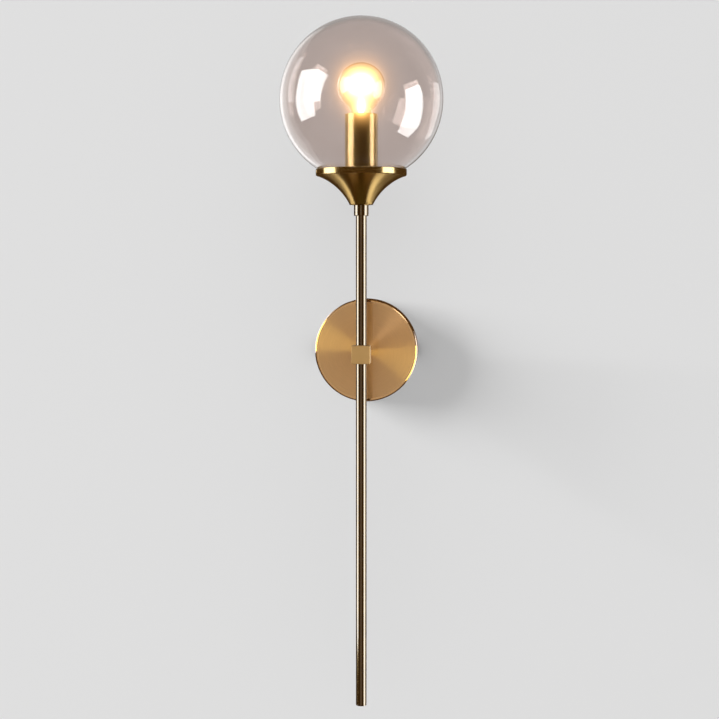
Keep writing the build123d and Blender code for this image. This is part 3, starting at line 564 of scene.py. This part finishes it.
# %% Gallery cup
cup_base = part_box("gallery_cup")[0].z
cup_wall = 1.2 * mm
foot_radius, foot_height = 11.2 * mm, 1.2 * mm
lip_radius, lip_height = 40.4 * mm, 26.5 * mm
flare_radius = 54.0 * mm
cup_hole = 4.2 * mm
cup_points = 26
foot = np.array([foot_radius, cup_base + foot_height])
lip = np.array([lip_radius, cup_base + lip_height])
chord = lip - foot
bow = math.sqrt(flare_radius ** 2 - (chord @ chord) / 4)
flare_centre = (foot + lip) / 2 + np.array([chord[1], -chord[0]]) / np.linalg.norm(chord) * bow
from_centre = np.array([foot, lip]) - flare_centre
foot_angle, lip_angle = np.arctan2(from_centre[:, 1], from_centre[:, 0]) % (2 * np.pi)
cup_floor = cup_base + cup_wall
inside = flare_radius + cup_wall
floor_angle = math.pi - math.asin((cup_floor - flare_centre[1]) / inside)
edge_angle = math.acos((lip_radius - flare_centre[0]) / inside)
outer_arc = arc(flare_centre, flare_radius, foot_angle, lip_angle, cup_points)
inner_arc = arc(flare_centre, inside, edge_angle, floor_angle, cup_points)
cup_foot = [(cup_hole, cup_base), (foot_radius, cup_base)]
cup_corners = np.concatenate([cup_foot, outer_arc, inner_arc, [(cup_hole, cup_floor)]])
cup_rounds = np.zeros(len(cup_corners))
cup_rounds[[0, -1]] = fine_round
cup_rounds[1] = 0.9 * mm
cup_rounds[[cup_points + 1, cup_points + 2]] = 0.05 * mm
turned("trumpet", rounded(cup_corners, cup_rounds), "gallery_cup", ring_brass["gallery brass"])

# %% [markdown]
# The upright ring on the cup's edge is turned from thicker brass, because three small grub screws are
# tapped into it to hold the globe. Its outside is sunk round each screw with the same trick as the canopy.

# %% Gallery ring
ring_low, ring_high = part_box("gallery_ring")
ring_radius = 41.8 * mm
ring_bore = 39.6 * mm
ring_mouth = 1.0 * mm
ring_step = lip_radius + fit_gap
ring_seat = flare_centre[1] + math.sqrt(inside ** 2 - (lip_radius - flare_centre[0]) ** 2) + fit_gap
grub_low, grub_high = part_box("gallery_screw_right")
grub_level = (grub_low.z + grub_high.z) / 2
grub_angles = np.radians([46.5, 166.5, 286.5])
grub_hole = 1.55 * mm
grub_patch = 1.85 * mm
grub_depth = 2.0 * mm
wall_rows = grub_level + sink_steps(grub_hole, grub_patch)
ring_corners = (
    [(ring_step, ring_low.z), (ring_radius, ring_low.z)]
    + [(ring_radius, z) for z in wall_rows]
    + [(ring_radius, ring_high.z), (ring_bore + ring_mouth, ring_high.z)]
    + [(ring_bore, ring_high.z - ring_mouth), (ring_bore, ring_seat), (ring_step, ring_seat)]
)
ring_rounds = np.zeros(len(ring_corners))
ring_rounds[:2] = [0.05 * mm, 1.1 * mm]
ring_rounds[-5:] = np.array([0.42, 0.1, 0.1, 0.1, 0.1]) * mm
outline = rounded(ring_corners, ring_rounds)
ring_sink = (grub_level, grub_hole, grub_patch, grub_depth)
grid = around_rod(*sunk_wall(outline, ring_radius, len(round_fine), grub_angles, *ring_sink))
place("gallery_band", grid, "gallery_ring", ring_brass["band brass"])

# %% [markdown]
# The globe is blown glass, smoked a little, 2.5 mm thick. It is modelled as a real shell with an outer and
# an inner face, so it bends the light twice as the real one does. The outline goes from the outer pole
# down to the neck, round its foot and up the inside to the inner pole. It throws no shadow here, so the
# wall behind it stays even.

# %% Smoked glass and the globe
clear_as_glass = {"Transmission_Weight": 1.0, "Roughness": 0.0}
smoke_tints = ((0.812, 0.742, 0.714), (0.842, 0.771, 0.742))
smoke_glass = stuff(
    "smoked glass", 16, 2.0, smoke_tints, lift=2e-5, IOR=1.5, Specular_IOR_Level=1.0, **clear_as_glass,
)

globe_low, globe_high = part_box("globe")
globe_radius = 75.0 * mm
globe_wall = 2.5 * mm
globe_level = globe_high.z - globe_radius
globe_points = 80
neck_radius = 38.8 * mm
neck_bore = neck_radius - globe_wall
neck_round = 4.0 * mm
bore_lead = 3.2 * mm
inner_radius = globe_radius - globe_wall
neck_turn = math.asin(neck_radius / globe_radius) - math.pi / 2
bore_turn = math.asin(neck_bore / inner_radius) - math.pi / 2 + bore_lead / inner_radius
globe_middle = (0.0, globe_level)
outer_arc = arc(globe_middle, globe_radius, math.pi / 2, neck_turn, globe_points)
inner_arc = arc(globe_middle, inner_radius, bore_turn, math.pi / 2, globe_points)
outer_arc[0, 0] = inner_arc[-1, 0] = 0.0
bore_top = inner_arc[0, 1] + (inner_arc[0, 0] - neck_bore) / math.tan(bore_turn)
neck_corners = [(neck_radius, globe_low.z), (neck_bore, globe_low.z), (neck_bore, bore_top)]
globe_corners = np.concatenate([outer_arc, neck_corners, inner_arc])
globe_rounds = np.zeros(len(globe_corners))
globe_rounds[globe_points - 1:globe_points + 3] = [1.2 * mm, 0.6 * mm, 0.6 * mm, neck_round]
outline = rounded(globe_corners, globe_rounds, steps=8)
globe = turned("glass_globe", outline, "globe", smoke_glass, ring=False)
hide(globe, "shadow", "diffuse")

# %% [markdown]
# The sleeve is a thin brass tube round the lampholder, with a softly rounded top edge.

# %% Socket sleeve
sleeve_low, sleeve_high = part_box("socket_sleeve")
sleeve_radius = (sleeve_high.x - sleeve_low.x) / 2
sleeve_wall = 0.8 * mm
sleeve_round = 0.24 * mm
sleeve_bore = sleeve_radius - sleeve_wall
sleeve_corners = stair([sleeve_bore, sleeve_radius, sleeve_bore], [sleeve_low.z, sleeve_high.z])
turned("sleeve", rounded(sleeve_corners, sleeve_round), "socket_sleeve", ring_brass["sleeve brass"])

# %% [markdown]
# The lamp is a clear ball of 44 mm on a narrow neck, made as a thin shell like the globe. Neck and ball are
# joined by an arc that touches both. It is lit, so the filament glows far brighter than anything else.

# %% Lamp glass
lamp_tints = ((0.97, 0.93, 0.84), (1.0, 0.97, 0.90))
lamp_glass = stuff("lamp glass", 60, 2.0, lamp_tints, lift=5e-6, IOR=1.45, **clear_as_glass)

lamp_low, lamp_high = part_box("bulb_glass")
ball_radius = 22.0 * mm
lamp_wall = 0.8 * mm
lamp_neck = 8.0 * mm
neck_length = 1.0 * mm
ball_level = lamp_high.z - ball_radius
neck_top = lamp_low.z + neck_length
rise = ball_level - neck_top
blend_radius = (lamp_neck ** 2 + rise ** 2 - ball_radius ** 2) / (2 * (ball_radius - lamp_neck))
blend_x = lamp_neck + blend_radius
join_angle = math.atan2(-rise, blend_x)
ball_points, blend_points = 48, 20


def lamp_face(inset):
    """Ball and blend of the lamp at a depth in the glass: two arcs that meet on the line between centres."""
    ball = arc((0.0, ball_level), ball_radius - inset, math.pi / 2, join_angle, ball_points)
    ball[0, 0] = 0.0
    blend = arc((blend_x, neck_top), blend_radius + inset, join_angle + math.pi, math.pi, blend_points)[1:]
    return np.concatenate([ball, blend])


lamp_foot = [(lamp_neck, lamp_low.z), (lamp_neck - lamp_wall, lamp_low.z)]
lamp_outline = np.concatenate([lamp_face(0.0), lamp_foot, lamp_face(lamp_wall)[::-1]])
lamp = turned("lamp_ball", lamp_outline, "bulb_glass", lamp_glass, ring=False)
hide(lamp, "shadow", "diffuse", "glossy")

# %% [markdown]
# The filament is a fine coil. Its centre line is an arc between the two leads, and the wire winds round
# that line: the point at turn angle t sits at a small radius on the arc's normal and on the depth axis.

# %% Glowing filament
glow, tree, shader = new_finish("glowing tungsten", Roughness=0.5, Emission_Strength=300.0)
heat = blend_colours(grain(tree, 300, 1.0), (1.0, 0.72, 0.38), (1.0, 0.78, 0.46))
tree.links.new(heat, shader.inputs["Emission Color"])

coil_low, coil_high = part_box("bulb_filament")
coil_width = 0.9 * mm
strand = 0.17 * mm
half_span = (coil_high.x - coil_low.x) / 2 - coil_width / 2
arch = coil_high.z - coil_low.z - coil_width
arch_radius = (half_span ** 2 + arch ** 2) / (2 * arch)
arch_level = coil_high.z - coil_width / 2 - arch_radius
spread = math.asin(half_span / arch_radius)
turns, per_turn, wire_sides = 40, 12, 6
t = np.linspace(0, 1, turns * per_turn + 1)
lean = spread * (2 * t - 1)
wind = 2 * np.pi * turns * t
out = np.stack([np.sin(lean), 0 * t, np.cos(lean)], -1)
deep = np.array([0.0, 1.0, 0.0])
wound = out * np.cos(wind)[:, None] + deep * np.sin(wind)[:, None]
spine = np.array([0, rod_y, arch_level]) + out * arch_radius + wound * (coil_width / 2 - strand)
side_way = np.cross(unit(np.gradient(spine, axis=0)), wound)
round_wire = full_turn(wire_sides)[None, :, None]
ring_way = np.cos(round_wire) * wound[:, None] + np.sin(round_wire) * side_way[:, None]
ends = np.repeat(spine[[0, -1], None], wire_sides, 1)
grid = np.concatenate([ends[:1], spine[:, None] + strand * ring_way, ends[1:]])
coil = place("filament_coil", grid, "bulb_filament", glow, ring=False)
hide(coil, "diffuse", "glossy")

# %% [markdown]
# The stem is clear glass that carries the leads. Its soft orange glow is painted light: an emission on the
# glass that stands in for the filament's light falling on it. Its outline narrows from a wide foot to a thin
# tube.

# %% Stem
stem_tints = ((0.96, 0.90, 0.78), (1.0, 0.95, 0.85))
# Painted glow: the emission colour and strength below stand in for the filament's light on the stem glass.
stem_glass_painted_glow = stuff(
    "stem glass with painted glow", 120, 2.0, stem_tints, Transmission_Weight=0.6, IOR=1.45, Roughness=0.25,
    Emission_Color=(1.0, 0.72, 0.36, 1.0), Emission_Strength=3.3,
)

stem_low, stem_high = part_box("bulb_stem")
stem_foot = (stem_high.x - stem_low.x) / 2
stem_waist, stem_tube = 3.2 * mm, 2.3 * mm
foot_top, waist_level, tube_level = stem_low.z + np.array([0.8, 4.5, 8.0]) * mm
stem_corners = [
    (0, stem_low.z), (stem_foot, stem_low.z), (stem_foot, foot_top), (stem_waist, waist_level),
    (stem_tube, tube_level), (stem_tube, stem_high.z), (0, stem_high.z),
]
stem_outline = rounded(stem_corners, np.array([0, 0.2, 0.3, 3.0, 3.0, 1.0, 0]) * mm)
stem = turned("lamp_stem", stem_outline, "bulb_stem", stem_glass_painted_glow, round_small, ring=False)
hide(stem, "diffuse", "glossy")

# %% [markdown]
# The cap's screw thread is rolled into thin sheet. It is a surface of two parameters: its radius swings in
# and out with the height and with the angle, so the crest climbs one pitch for each full turn. Towards both
# ends the swing fades, as it does on a rolled thread.

# %% Screw cap
cap_tints = ((0.62, 0.60, 0.56), (0.78, 0.76, 0.72))
cap_metal = stuff("cap metal", 400, 3.0, cap_tints, (0.22, 0.42), 4e-6, Metallic=1.0)

cap_low, cap_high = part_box("bulb_cap")
cap_sheet = 0.35 * mm
crest = 6.7 * mm
thread_depth = 0.55 * mm
pitch = 2.6 * mm
flange = 8.5 * mm
shoulder_drop = 2.4 * mm
shoulder_top = lamp_low.z - cap_sheet
shoulder_foot = lamp_low.z - shoulder_drop
thread_rows = np.linspace(cap_low.z, shoulder_foot, 70)
rows = np.concatenate([thread_rows, [shoulder_top, cap_high.z]])
plain = np.interp(rows, [cap_low.z, shoulder_foot, shoulder_top, cap_high.z], [crest, crest, flange, flange])
fade_levels = [cap_low.z, cap_low.z + pitch, shoulder_foot - pitch / 2, shoulder_foot]
fade = np.interp(rows, fade_levels, [0.2, 1, 1, 0])
wave = 0.5 - 0.5 * np.cos(2 * np.pi * rows[:, None] / pitch - round_small[None, :])
shell = plain[:, None] - thread_depth * fade[:, None] * wave
levels = np.repeat(rows[:, None], len(round_small), 1)
both_faces = np.concatenate([shell, shell[::-1] - cap_sheet])
grid = around_rod(both_faces, np.concatenate([levels, levels[::-1]]), round_small)
place("lamp_cap", grid, "bulb_cap", cap_metal)

# %% [markdown]
# The other pieces are small and plain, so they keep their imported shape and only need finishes: zinc-plated
# steel for the fixings, glazed porcelain for the lampholder, plastic, silicone, black glass and coloured
# insulation. Each row gives a name, two colours, a range of roughness, grains per metre and their height.

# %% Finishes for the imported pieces
metals = ("zinc_steel", "solder", "nickel_wire")
plain_looks = {
    "zinc_steel": ("zinc plate", (0.46, 0.47, 0.48), (0.62, 0.63, 0.65), (0.28, 0.45), 260, 4e-6),
    "porcelain": ("glazed porcelain", (0.78, 0.77, 0.73), (0.84, 0.83, 0.80), (0.10, 0.18), 90, 6e-6),
    "white_plastic": ("white plastic", (0.72, 0.72, 0.69), (0.78, 0.78, 0.76), (0.40, 0.52), 900, 5e-6),
    "silicone": ("silicone", (0.62, 0.61, 0.59), (0.70, 0.69, 0.67), (0.50, 0.62), 500, 5e-6),
    "black_vitrite": ("black glass", (0.01, 0.01, 0.012), (0.022, 0.022, 0.025), (0.08, 0.2), 200, 4e-6),
    "solder": ("solder", (0.48, 0.48, 0.49), (0.62, 0.62, 0.62), (0.3, 0.5), 600, 2e-5),
    "nickel_wire": ("nickel wire", (0.46, 0.44, 0.41), (0.58, 0.56, 0.53), (0.2, 0.34), 900, 2e-6),
    "wire_brown": ("brown insulation", (0.10, 0.035, 0.015), (0.14, 0.05, 0.022), (0.35, 0.5), 700, 6e-6),
    "wire_blue": ("blue insulation", (0.015, 0.06, 0.28), (0.025, 0.085, 0.36), (0.35, 0.5), 700, 6e-6),
}

earth, tree, shader = new_finish("green and yellow insulation", Roughness=0.42)
wave = {"Vector": object_place(tree), "Scale": 90.0, "Distortion": 0.4}
stripes = add_node(tree, "TexWave", wave).outputs["Fac"]
green, yellow = (0.03, 0.26, 0.04), (0.74, 0.60, 0.03)
bands = ramp_of(stripes, [(0.0, green), (0.55, yellow)], "CONSTANT")
tree.links.new(bands, shader.inputs["Base Color"])
vary(tree, shader, grain(tree, 700), lift=6e-6)

finish_of_slot = {
    "brass_polished": rod_brass, "brass_satin": satin_brass, "brass_brushed": ring_brass["canopy brass"],
    "brass_plain": turned_brass, "smoke_glass": smoke_glass, "clear_glass": lamp_glass,
    "cap_metal": cap_metal, "tungsten": glow, "wire_earth": earth,
}
for slot, (name, low, high, rough, scale, lift) in plain_looks.items():
    metal = float(slot in metals)
    finish_of_slot[slot] = stuff(name, scale, 4.0, (low, high), rough, lift, Metallic=metal)
for node, obj in frame["nodes"].items():
    obj.data.materials.clear()
    obj.data.materials.append(finish_of_slot[slot_of[node]])
print("finishes given to", len(frame["nodes"]), "packed pieces")

# %% [markdown]
# The studio has a pale wall behind the lamp and a pale floor below it. One soft key light, glowing cards and
# the room itself light them, in the cells that follow. The wall is seen only from the front, so a view from
# behind still shows the back of the lamp.

# %% Wall and floor
def panel(name, corners, faces, material):
    """Stage panel from its corners and faces."""
    mesh = bpy.data.meshes.new(name)
    mesh.from_pydata(corners, [], faces)
    mesh.materials.append(material)
    obj = add_object(name, mesh)
    return obj


wall_paint, tree, shader = new_finish(
    "wall paint", Base_Color=(0.80, 0.80, 0.80, 1), Roughness=0.9, Specular_IOR_Level=0.1,
)
behind = add_node(tree, "NewGeometry").outputs["Backfacing"]
clear = add_node(tree, "BsdfTransparent")
one_sided = add_node(tree, "MixShader", {0: behind, 1: shader.outputs[0], 2: clear.outputs[0]})
tree.links.new(one_sided.outputs[0], tree.nodes["Material Output"].inputs["Surface"])
floor_paint = new_finish(
    "floor paint", Base_Color=(0.66, 0.66, 0.655, 1), Roughness=0.8, Specular_IOR_Level=0.0,
)[0]

stage_half, stage_top, floor_level = 3.0, 2.5, -0.62
around = [(-stage_half, -1), (stage_half, -1), (stage_half, 1), (-stage_half, 1)]
wall_corners = [(x, 0, floor_level if side < 0 else stage_top) for x, side in around]
floor_corners = [(x, side * stage_half, floor_level) for x, side in around]
wall = panel("wall", wall_corners, [(0, 1, 2, 3)], wall_paint)
hide(wall, "shadow", "glossy", "transmission")
floor = panel("floor", floor_corners, [(0, 1, 2, 3)], floor_paint)
hide(floor, "shadow", "diffuse", "glossy", "transmission")
print("wall and floor meet at height", floor_level)

# %% [markdown]
# Polished brass shows what stands around it more than its own colour, so a studio lights each group of
# pieces with cards of its own. A card here is a glowing panel far away, given by the directions of its
# corners. Light linking tells it which pieces it reaches. The cards are seen only in mirrors: they leave the
# wall and the camera's view alone.

# %% Cards
globe_point = np.array([0.0, rod_y, globe_level])
far = 16.0
facing_side = 0.4 * globe_radius


def group_of(name, objects, left_out=False):
    """Collection for light linking: objects that a light reaches, or passes over where left_out is true."""
    group = bpy.data.collections.new(name)
    for obj in objects:
        group.objects.link(obj)
    for entry in group.collection_objects:
        entry.light_linking.link_state = "EXCLUDE" if left_out else "INCLUDE"
    return group


def direction(azimuth, elevation):
    """Unit vector for an azimuth to the right of the front and an elevation, in degrees.

    x = sin a cos e, y = -cos a cos e, z = sin e.
    """
    a, e = np.radians(azimuth), np.radians(elevation)
    return np.stack([np.sin(a) * np.cos(e), -np.cos(a) * np.cos(e), np.sin(e)], -1)


def card(name, corners, brightness, group, colour=(1.0, 1.0, 1.0), in_strips=False, facing_only=False):
    """Glowing panel whose corners lie far away in the given directions, for one group of pieces.

    It is clear as well as glowing, so cards of other groups shine through it. It goes dark for light that
    has touched the wall, so no mirrored patches fall there, and for an eye that looks straight at it through
    the glass. With facing_only it is also dark for the globe's far side, which would mirror it too strongly.
    """
    azimuths, elevations = np.array(corners, float).T
    points = globe_point + far * direction(azimuths, elevations)
    last = len(corners) - 1
    strips = [(k, k + 1, last - k - 1, last - k) for k in range(last // 2)]
    material, tree = new_finish(name)[:2]
    rays = add_node(tree, "LightPath").outputs
    untouched = math_of("LESS_THAN", rays["Diffuse Depth"], 0.5)
    unmirrored = math_of("LESS_THAN", rays["Glossy Depth"], 0.5)
    hidden = math_of("MULTIPLY", rays["Is Transmission Ray"], unmirrored)
    if facing_only:
        spot = add_node(tree, "NewGeometry").outputs["Position"]
        away = vector_of("DISTANCE", spot, globe_point)
        nearer = math_of("SUBTRACT", away, rays["Ray Length"])
        far_side = math_of("LESS_THAN", nearer, facing_side)
        glancing = math_of("MULTIPLY", rays["Is Singular Ray"], far_side)
        hidden = math_of("MAXIMUM", hidden, glancing)
    shown = math_of("MULTIPLY", untouched, math_of("SUBTRACT", 1.0, hidden))
    power = math_of("MULTIPLY", shown, brightness)
    shine = add_node(tree, "Emission", {"Strength": power, "Color": (*colour, 1.0)})
    clear = add_node(tree, "BsdfTransparent")
    both = add_node(tree, "AddShader", {0: shine.outputs[0], 1: clear.outputs[0]})
    tree.links.new(both.outputs[0], tree.nodes["Material Output"].inputs["Surface"])
    obj = panel(name, points.tolist(), strips if in_strips else [tuple(range(last + 1))], material)
    hide(obj, "camera", "diffuse", "shadow")
    obj.light_linking.receiver_collection = group
    print(name, "brightness", brightness)


def upright(left, right, low, high):
    """Corners of a card between two azimuths and two elevations."""
    return [(left, high), (right, high), (right, low), (left, low)]


rod_pieces = [made[name] for name in ("upper_rod_tube", "lower_rod_tube", "rod_plug", "collar")]
gallery_pieces = [made["trumpet"], made["gallery_band"]]
canopy_pieces = [made["canopy_dish"], made["post"], frame["nodes"]["rod_block"]]
rods = group_of("rods", rod_pieces)
flare = group_of("flare", gallery_pieces[:1])
band = group_of("band", gallery_pieces[1:])
wall_plate = group_of("wall plate", canopy_pieces)
for obj in canopy_pieces:
    hide(obj, "diffuse")
others = group_of("others", rod_pieces + gallery_pieces + canopy_pieces, left_out=True)

# %% [markdown]
# The globe mirrors two large windows of light. Their slanted outlines, one with a step cut out of its lower
# corner, are what the glass shows. Dimmer bands further back give the pale crescents near its edge.

# %% Cards for the glass
left_window = [
    (-99, 26), (-67, 32), (-46, 26), (-55, -5), (-66, -5), (-68, -20), (-99, -18), (-100, -1), (-98, 12),
]
right_window = [
    (67, 8), (93, 15), (99, 5), (102, -7), (107, -23), (104, -31), (102, -38), (74, -41), (71, -20),
]
left_band = [(-125, 31), (-114, 35), (-104, 12), (-104, 0), (-120, 2), (-123, 15)]
right_band = [(130, 15), (148, 12), (148, 4), (146, -6), (152, -10), (140, -20), (129, -10), (125, 2)]
card("left window", left_window, 7.0, others, facing_only=True)
card("right window", right_window, 7.0, others, facing_only=True)
card("left band", left_band, 0.8, others)
card("left limb", upright(-160, -112, -35, 35), 0.3, others)
card("left limb inner", upright(-160, -124, -28, 28), 0.25, others)
card("right band", right_band, 0.9, others)

# %% [markdown]
# The rods show two narrow white stripes with a dark band between them, and a faint line in the middle. The
# left stripe ends just above the plug, so its card ends at a low elevation. Brass warms what it mirrors, so
# the cards of the two stripes are a cool white.

# %% Cards for the rods
cool_white = (1.0, 1.15, 1.4)
card("rod left", upright(-100, -62, -16.5, 30), 2.6, rods, cool_white)
card("rod right", upright(60, 99, -40, 30), 2.6, rods, cool_white)
card("rod front", upright(-6, 4, -30, 20), 0.45, rods)
card("rod edge", upright(112, 150, -30, 30), 0.35, rods)

# %% [markdown]
# The trumpet's flare looks down, more and more towards its lip, so a stripe that runs straight down it comes
# from a card that bends round below the lamp.

# %% Cards for the gallery
left_bow = [
    (-57, -8), (-57, -18), (-85, -47), (-126, -54), (-160, -44),
    (-161, -41), (-131, -49), (-114, -35), (-121, -10), (-121, 0),
]
right_bow = [
    (74, -6), (74, -16), (63, -53), (110, -70), (164, -54),
    (161, -48), (123, -57), (103, -40), (131, -8), (131, 0),
]
card("flare left", left_bow, 1.6, flare, in_strips=True)
card("flare right", right_bow, 1.9, flare, in_strips=True)
card("flare front", upright(-40, 40, -70, 20), 0.025, flare, (0.5, 1.0, 0.4))
card("band left", upright(-104, -66, -30, 30), 3.0, band)
card("band right", upright(60, 96, -30, 30), 3.0, band)

# %% [markdown]
# The flat canopy mirrors the front of the room, a large dim card. Two warm cards, left and right, give the
# golden fans, and a small one high on the right a fainter third. Two cool ones stand further back than the
# flat can see, and only the rounded edge mirrors them.

# %% Cards for the canopy
golden, cool_edge = (1.0, 1.0, 0.42), (0.8, 1.0, 1.4)
card("canopy front", upright(-62, 62, -58, 58), 0.455, wall_plate, (1.0, 1.0, 0.9))
card("canopy left", upright(-86, -52, -5, 27), 3.9, wall_plate, golden)
card("canopy right", upright(52, 86, -39, 1), 3.9, wall_plate, golden)
card("canopy high", upright(38, 62, 28, 48), 2.8, wall_plate)
card("edge left", upright(-150, -96, -6, 36), 2.2, wall_plate, cool_edge)
card("edge right", upright(96, 150, -30, 10), 2.2, wall_plate, cool_edge)

# %% [markdown]
# One large soft light from the upper left falls on the wall at a flat angle. Only the canopy, its post and
# the block throw a shadow in it, a soft one to the right, because the thin rod's shadow would be too faint
# to see.

# %% Key light
key_far = 40.0
key_half_width, key_half_height = math.radians(11), math.radians(15)
key_brightness = 25.5
key_light = bpy.data.lights.new("wall key", "AREA")
key_light.shape = "RECTANGLE"
key_light.size = 2 * key_far * math.tan(key_half_width)
key_light.size_y = 2 * key_far * math.tan(key_half_height)
key_light.energy = key_brightness * math.pi * key_light.size * key_light.size_y
key = add_object("wall key", key_light)
key_way = Vector(direction(-78, 18))
key.location = Vector(globe_point) + key_far * key_way
key.rotation_mode = "QUATERNION"
key.rotation_quaternion = key_way.to_track_quat("Z", "Y")
hide(key, "glossy", "transmission")
key.light_linking.blocker_collection = wall_plate
key.light_linking.receiver_collection = group_of("lit by the key", canopy_pieces, left_out=True)
print("key light", round(key_light.size, 2), "by", round(key_light.size_y, 2), "m")

# %% [markdown]
# The room is dark for the brass, which then shows its deep brown, and white for the wall. Light that came
# through the glass without being mirrored sees a pale backdrop all round. Light that the glass mirrors sees
# it only towards the back, where it fades in, and a last darker step straight behind draws the thin line of
# the outline.

# %% Room
world = bpy.data.worlds.new("dark room")
scene.world = world
world.use_nodes = True
tree = world.node_tree
glows = [((0.08, 0.045, 0.015, 1), 1.0), ((1, 1, 1, 1), 0.615), ((1, 1, 1, 1), 0.73)]
dark, fill, pale = (
    add_node(tree, "Background", {"Color": colour, "Strength": strength}).outputs[0]
    for colour, strength in glows
)
rays = add_node(tree, "LightPath").outputs
way = add_node(tree, "SeparateXYZ", {0: add_node(tree, "TexCoord").outputs["Generated"]}).outputs
back_steps = [(0.0, 0.0), (0.35, 0.35), (0.85, 1.0), (0.96, 1.0), (0.985, 0.3), (1.0, 0.3)]
upward = ramp_of(way["Z"], [(0.1, 1.0), (0.4, 0.6)])
rim = math_of("MULTIPLY", ramp_of(way["Y"], back_steps), upward)
never_mirrored = math_of("LESS_THAN", rays["Glossy Depth"], 0.5)
two_panes = math_of("MULTIPLY", math_of("LESS_THAN", rays["Transmission Depth"], 4.5), rim)
through = math_of("MAXIMUM", never_mirrored, two_panes)
behind_glass = math_of("MULTIPLY", rays["Is Transmission Ray"], through)
seen = math_of("MAXIMUM", rays["Is Camera Ray"], behind_glass)
sharp_mirror = math_of("MULTIPLY", rays["Is Singular Ray"], rays["Is Glossy Ray"])
backdrop = math_of("MAXIMUM", seen, math_of("MULTIPLY", sharp_mirror, rim))
lit = add_node(tree, "MixShader", {0: rays["Is Diffuse Ray"], 1: dark, 2: fill}).outputs[0]
room = add_node(tree, "MixShader", {0: backdrop, 1: lit, 2: pale}).outputs[0]
tree.links.new(room, tree.nodes["World Output"].inputs["Surface"])
print("room made of", len(tree.nodes), "nodes")

# %% [markdown]
# The camera stands about 1.4 m from the wall, a little to the right of the lamp and above the block, so the
# rod is seen slightly left of the canopy's middle. A long lens keeps the rod nearly free of perspective. The
# Standard view shows the colours as the lights give them.

# %% Camera and colour
camera = bpy.data.cameras.new("camera")
camera.lens = 70.5
eye = add_object("camera", camera)
eye.location = (93 * mm, -1385 * mm, 82 * mm)
aim = Vector((-1.65 * mm, rod_y, -4.7 * mm))
eye.rotation_mode = "QUATERNION"
eye.rotation_quaternion = (aim - eye.location).to_track_quat("-Z", "Y")
scene.camera = eye
scene.view_settings.view_transform = "Standard"
print("camera", round((aim - eye.location).length, 3), "m from the rod")

# %% [markdown]
# A lit filament is far brighter than a picture can show, so a real lens spreads some of its light over the
# lamp: a white core with a golden border. A bloom does the same with what is far brighter than white, and
# a second, wider one with only the brightest of it.

# %% Glow round the filament
scene.use_nodes = True
picture_nodes = scene.node_tree.nodes
picture_nodes.clear()
picture = picture_nodes.new("CompositorNodeRLayers").outputs["Image"]
for threshold, strength, size in ((4.0, 470.0, 0.03), (10.0, 1.6, 0.06)):
    bloom = picture_nodes.new("CompositorNodeGlare")
    bloom.glare_type = "BLOOM"
    bloom.quality = "HIGH"
    bloom.inputs["Threshold"].default_value = threshold
    bloom.inputs["Strength"].default_value = strength
    bloom.inputs["Size"].default_value = size
    bloom.inputs["Tint"].default_value = (1.0, 0.8, 0.5, 1.0)
    scene.node_tree.links.new(picture, bloom.inputs["Image"])
    picture = bloom.outputs["Image"]
    print("bloom above a brightness of", threshold)
scene.node_tree.links.new(picture, picture_nodes.new("CompositorNodeComposite").inputs["Image"])
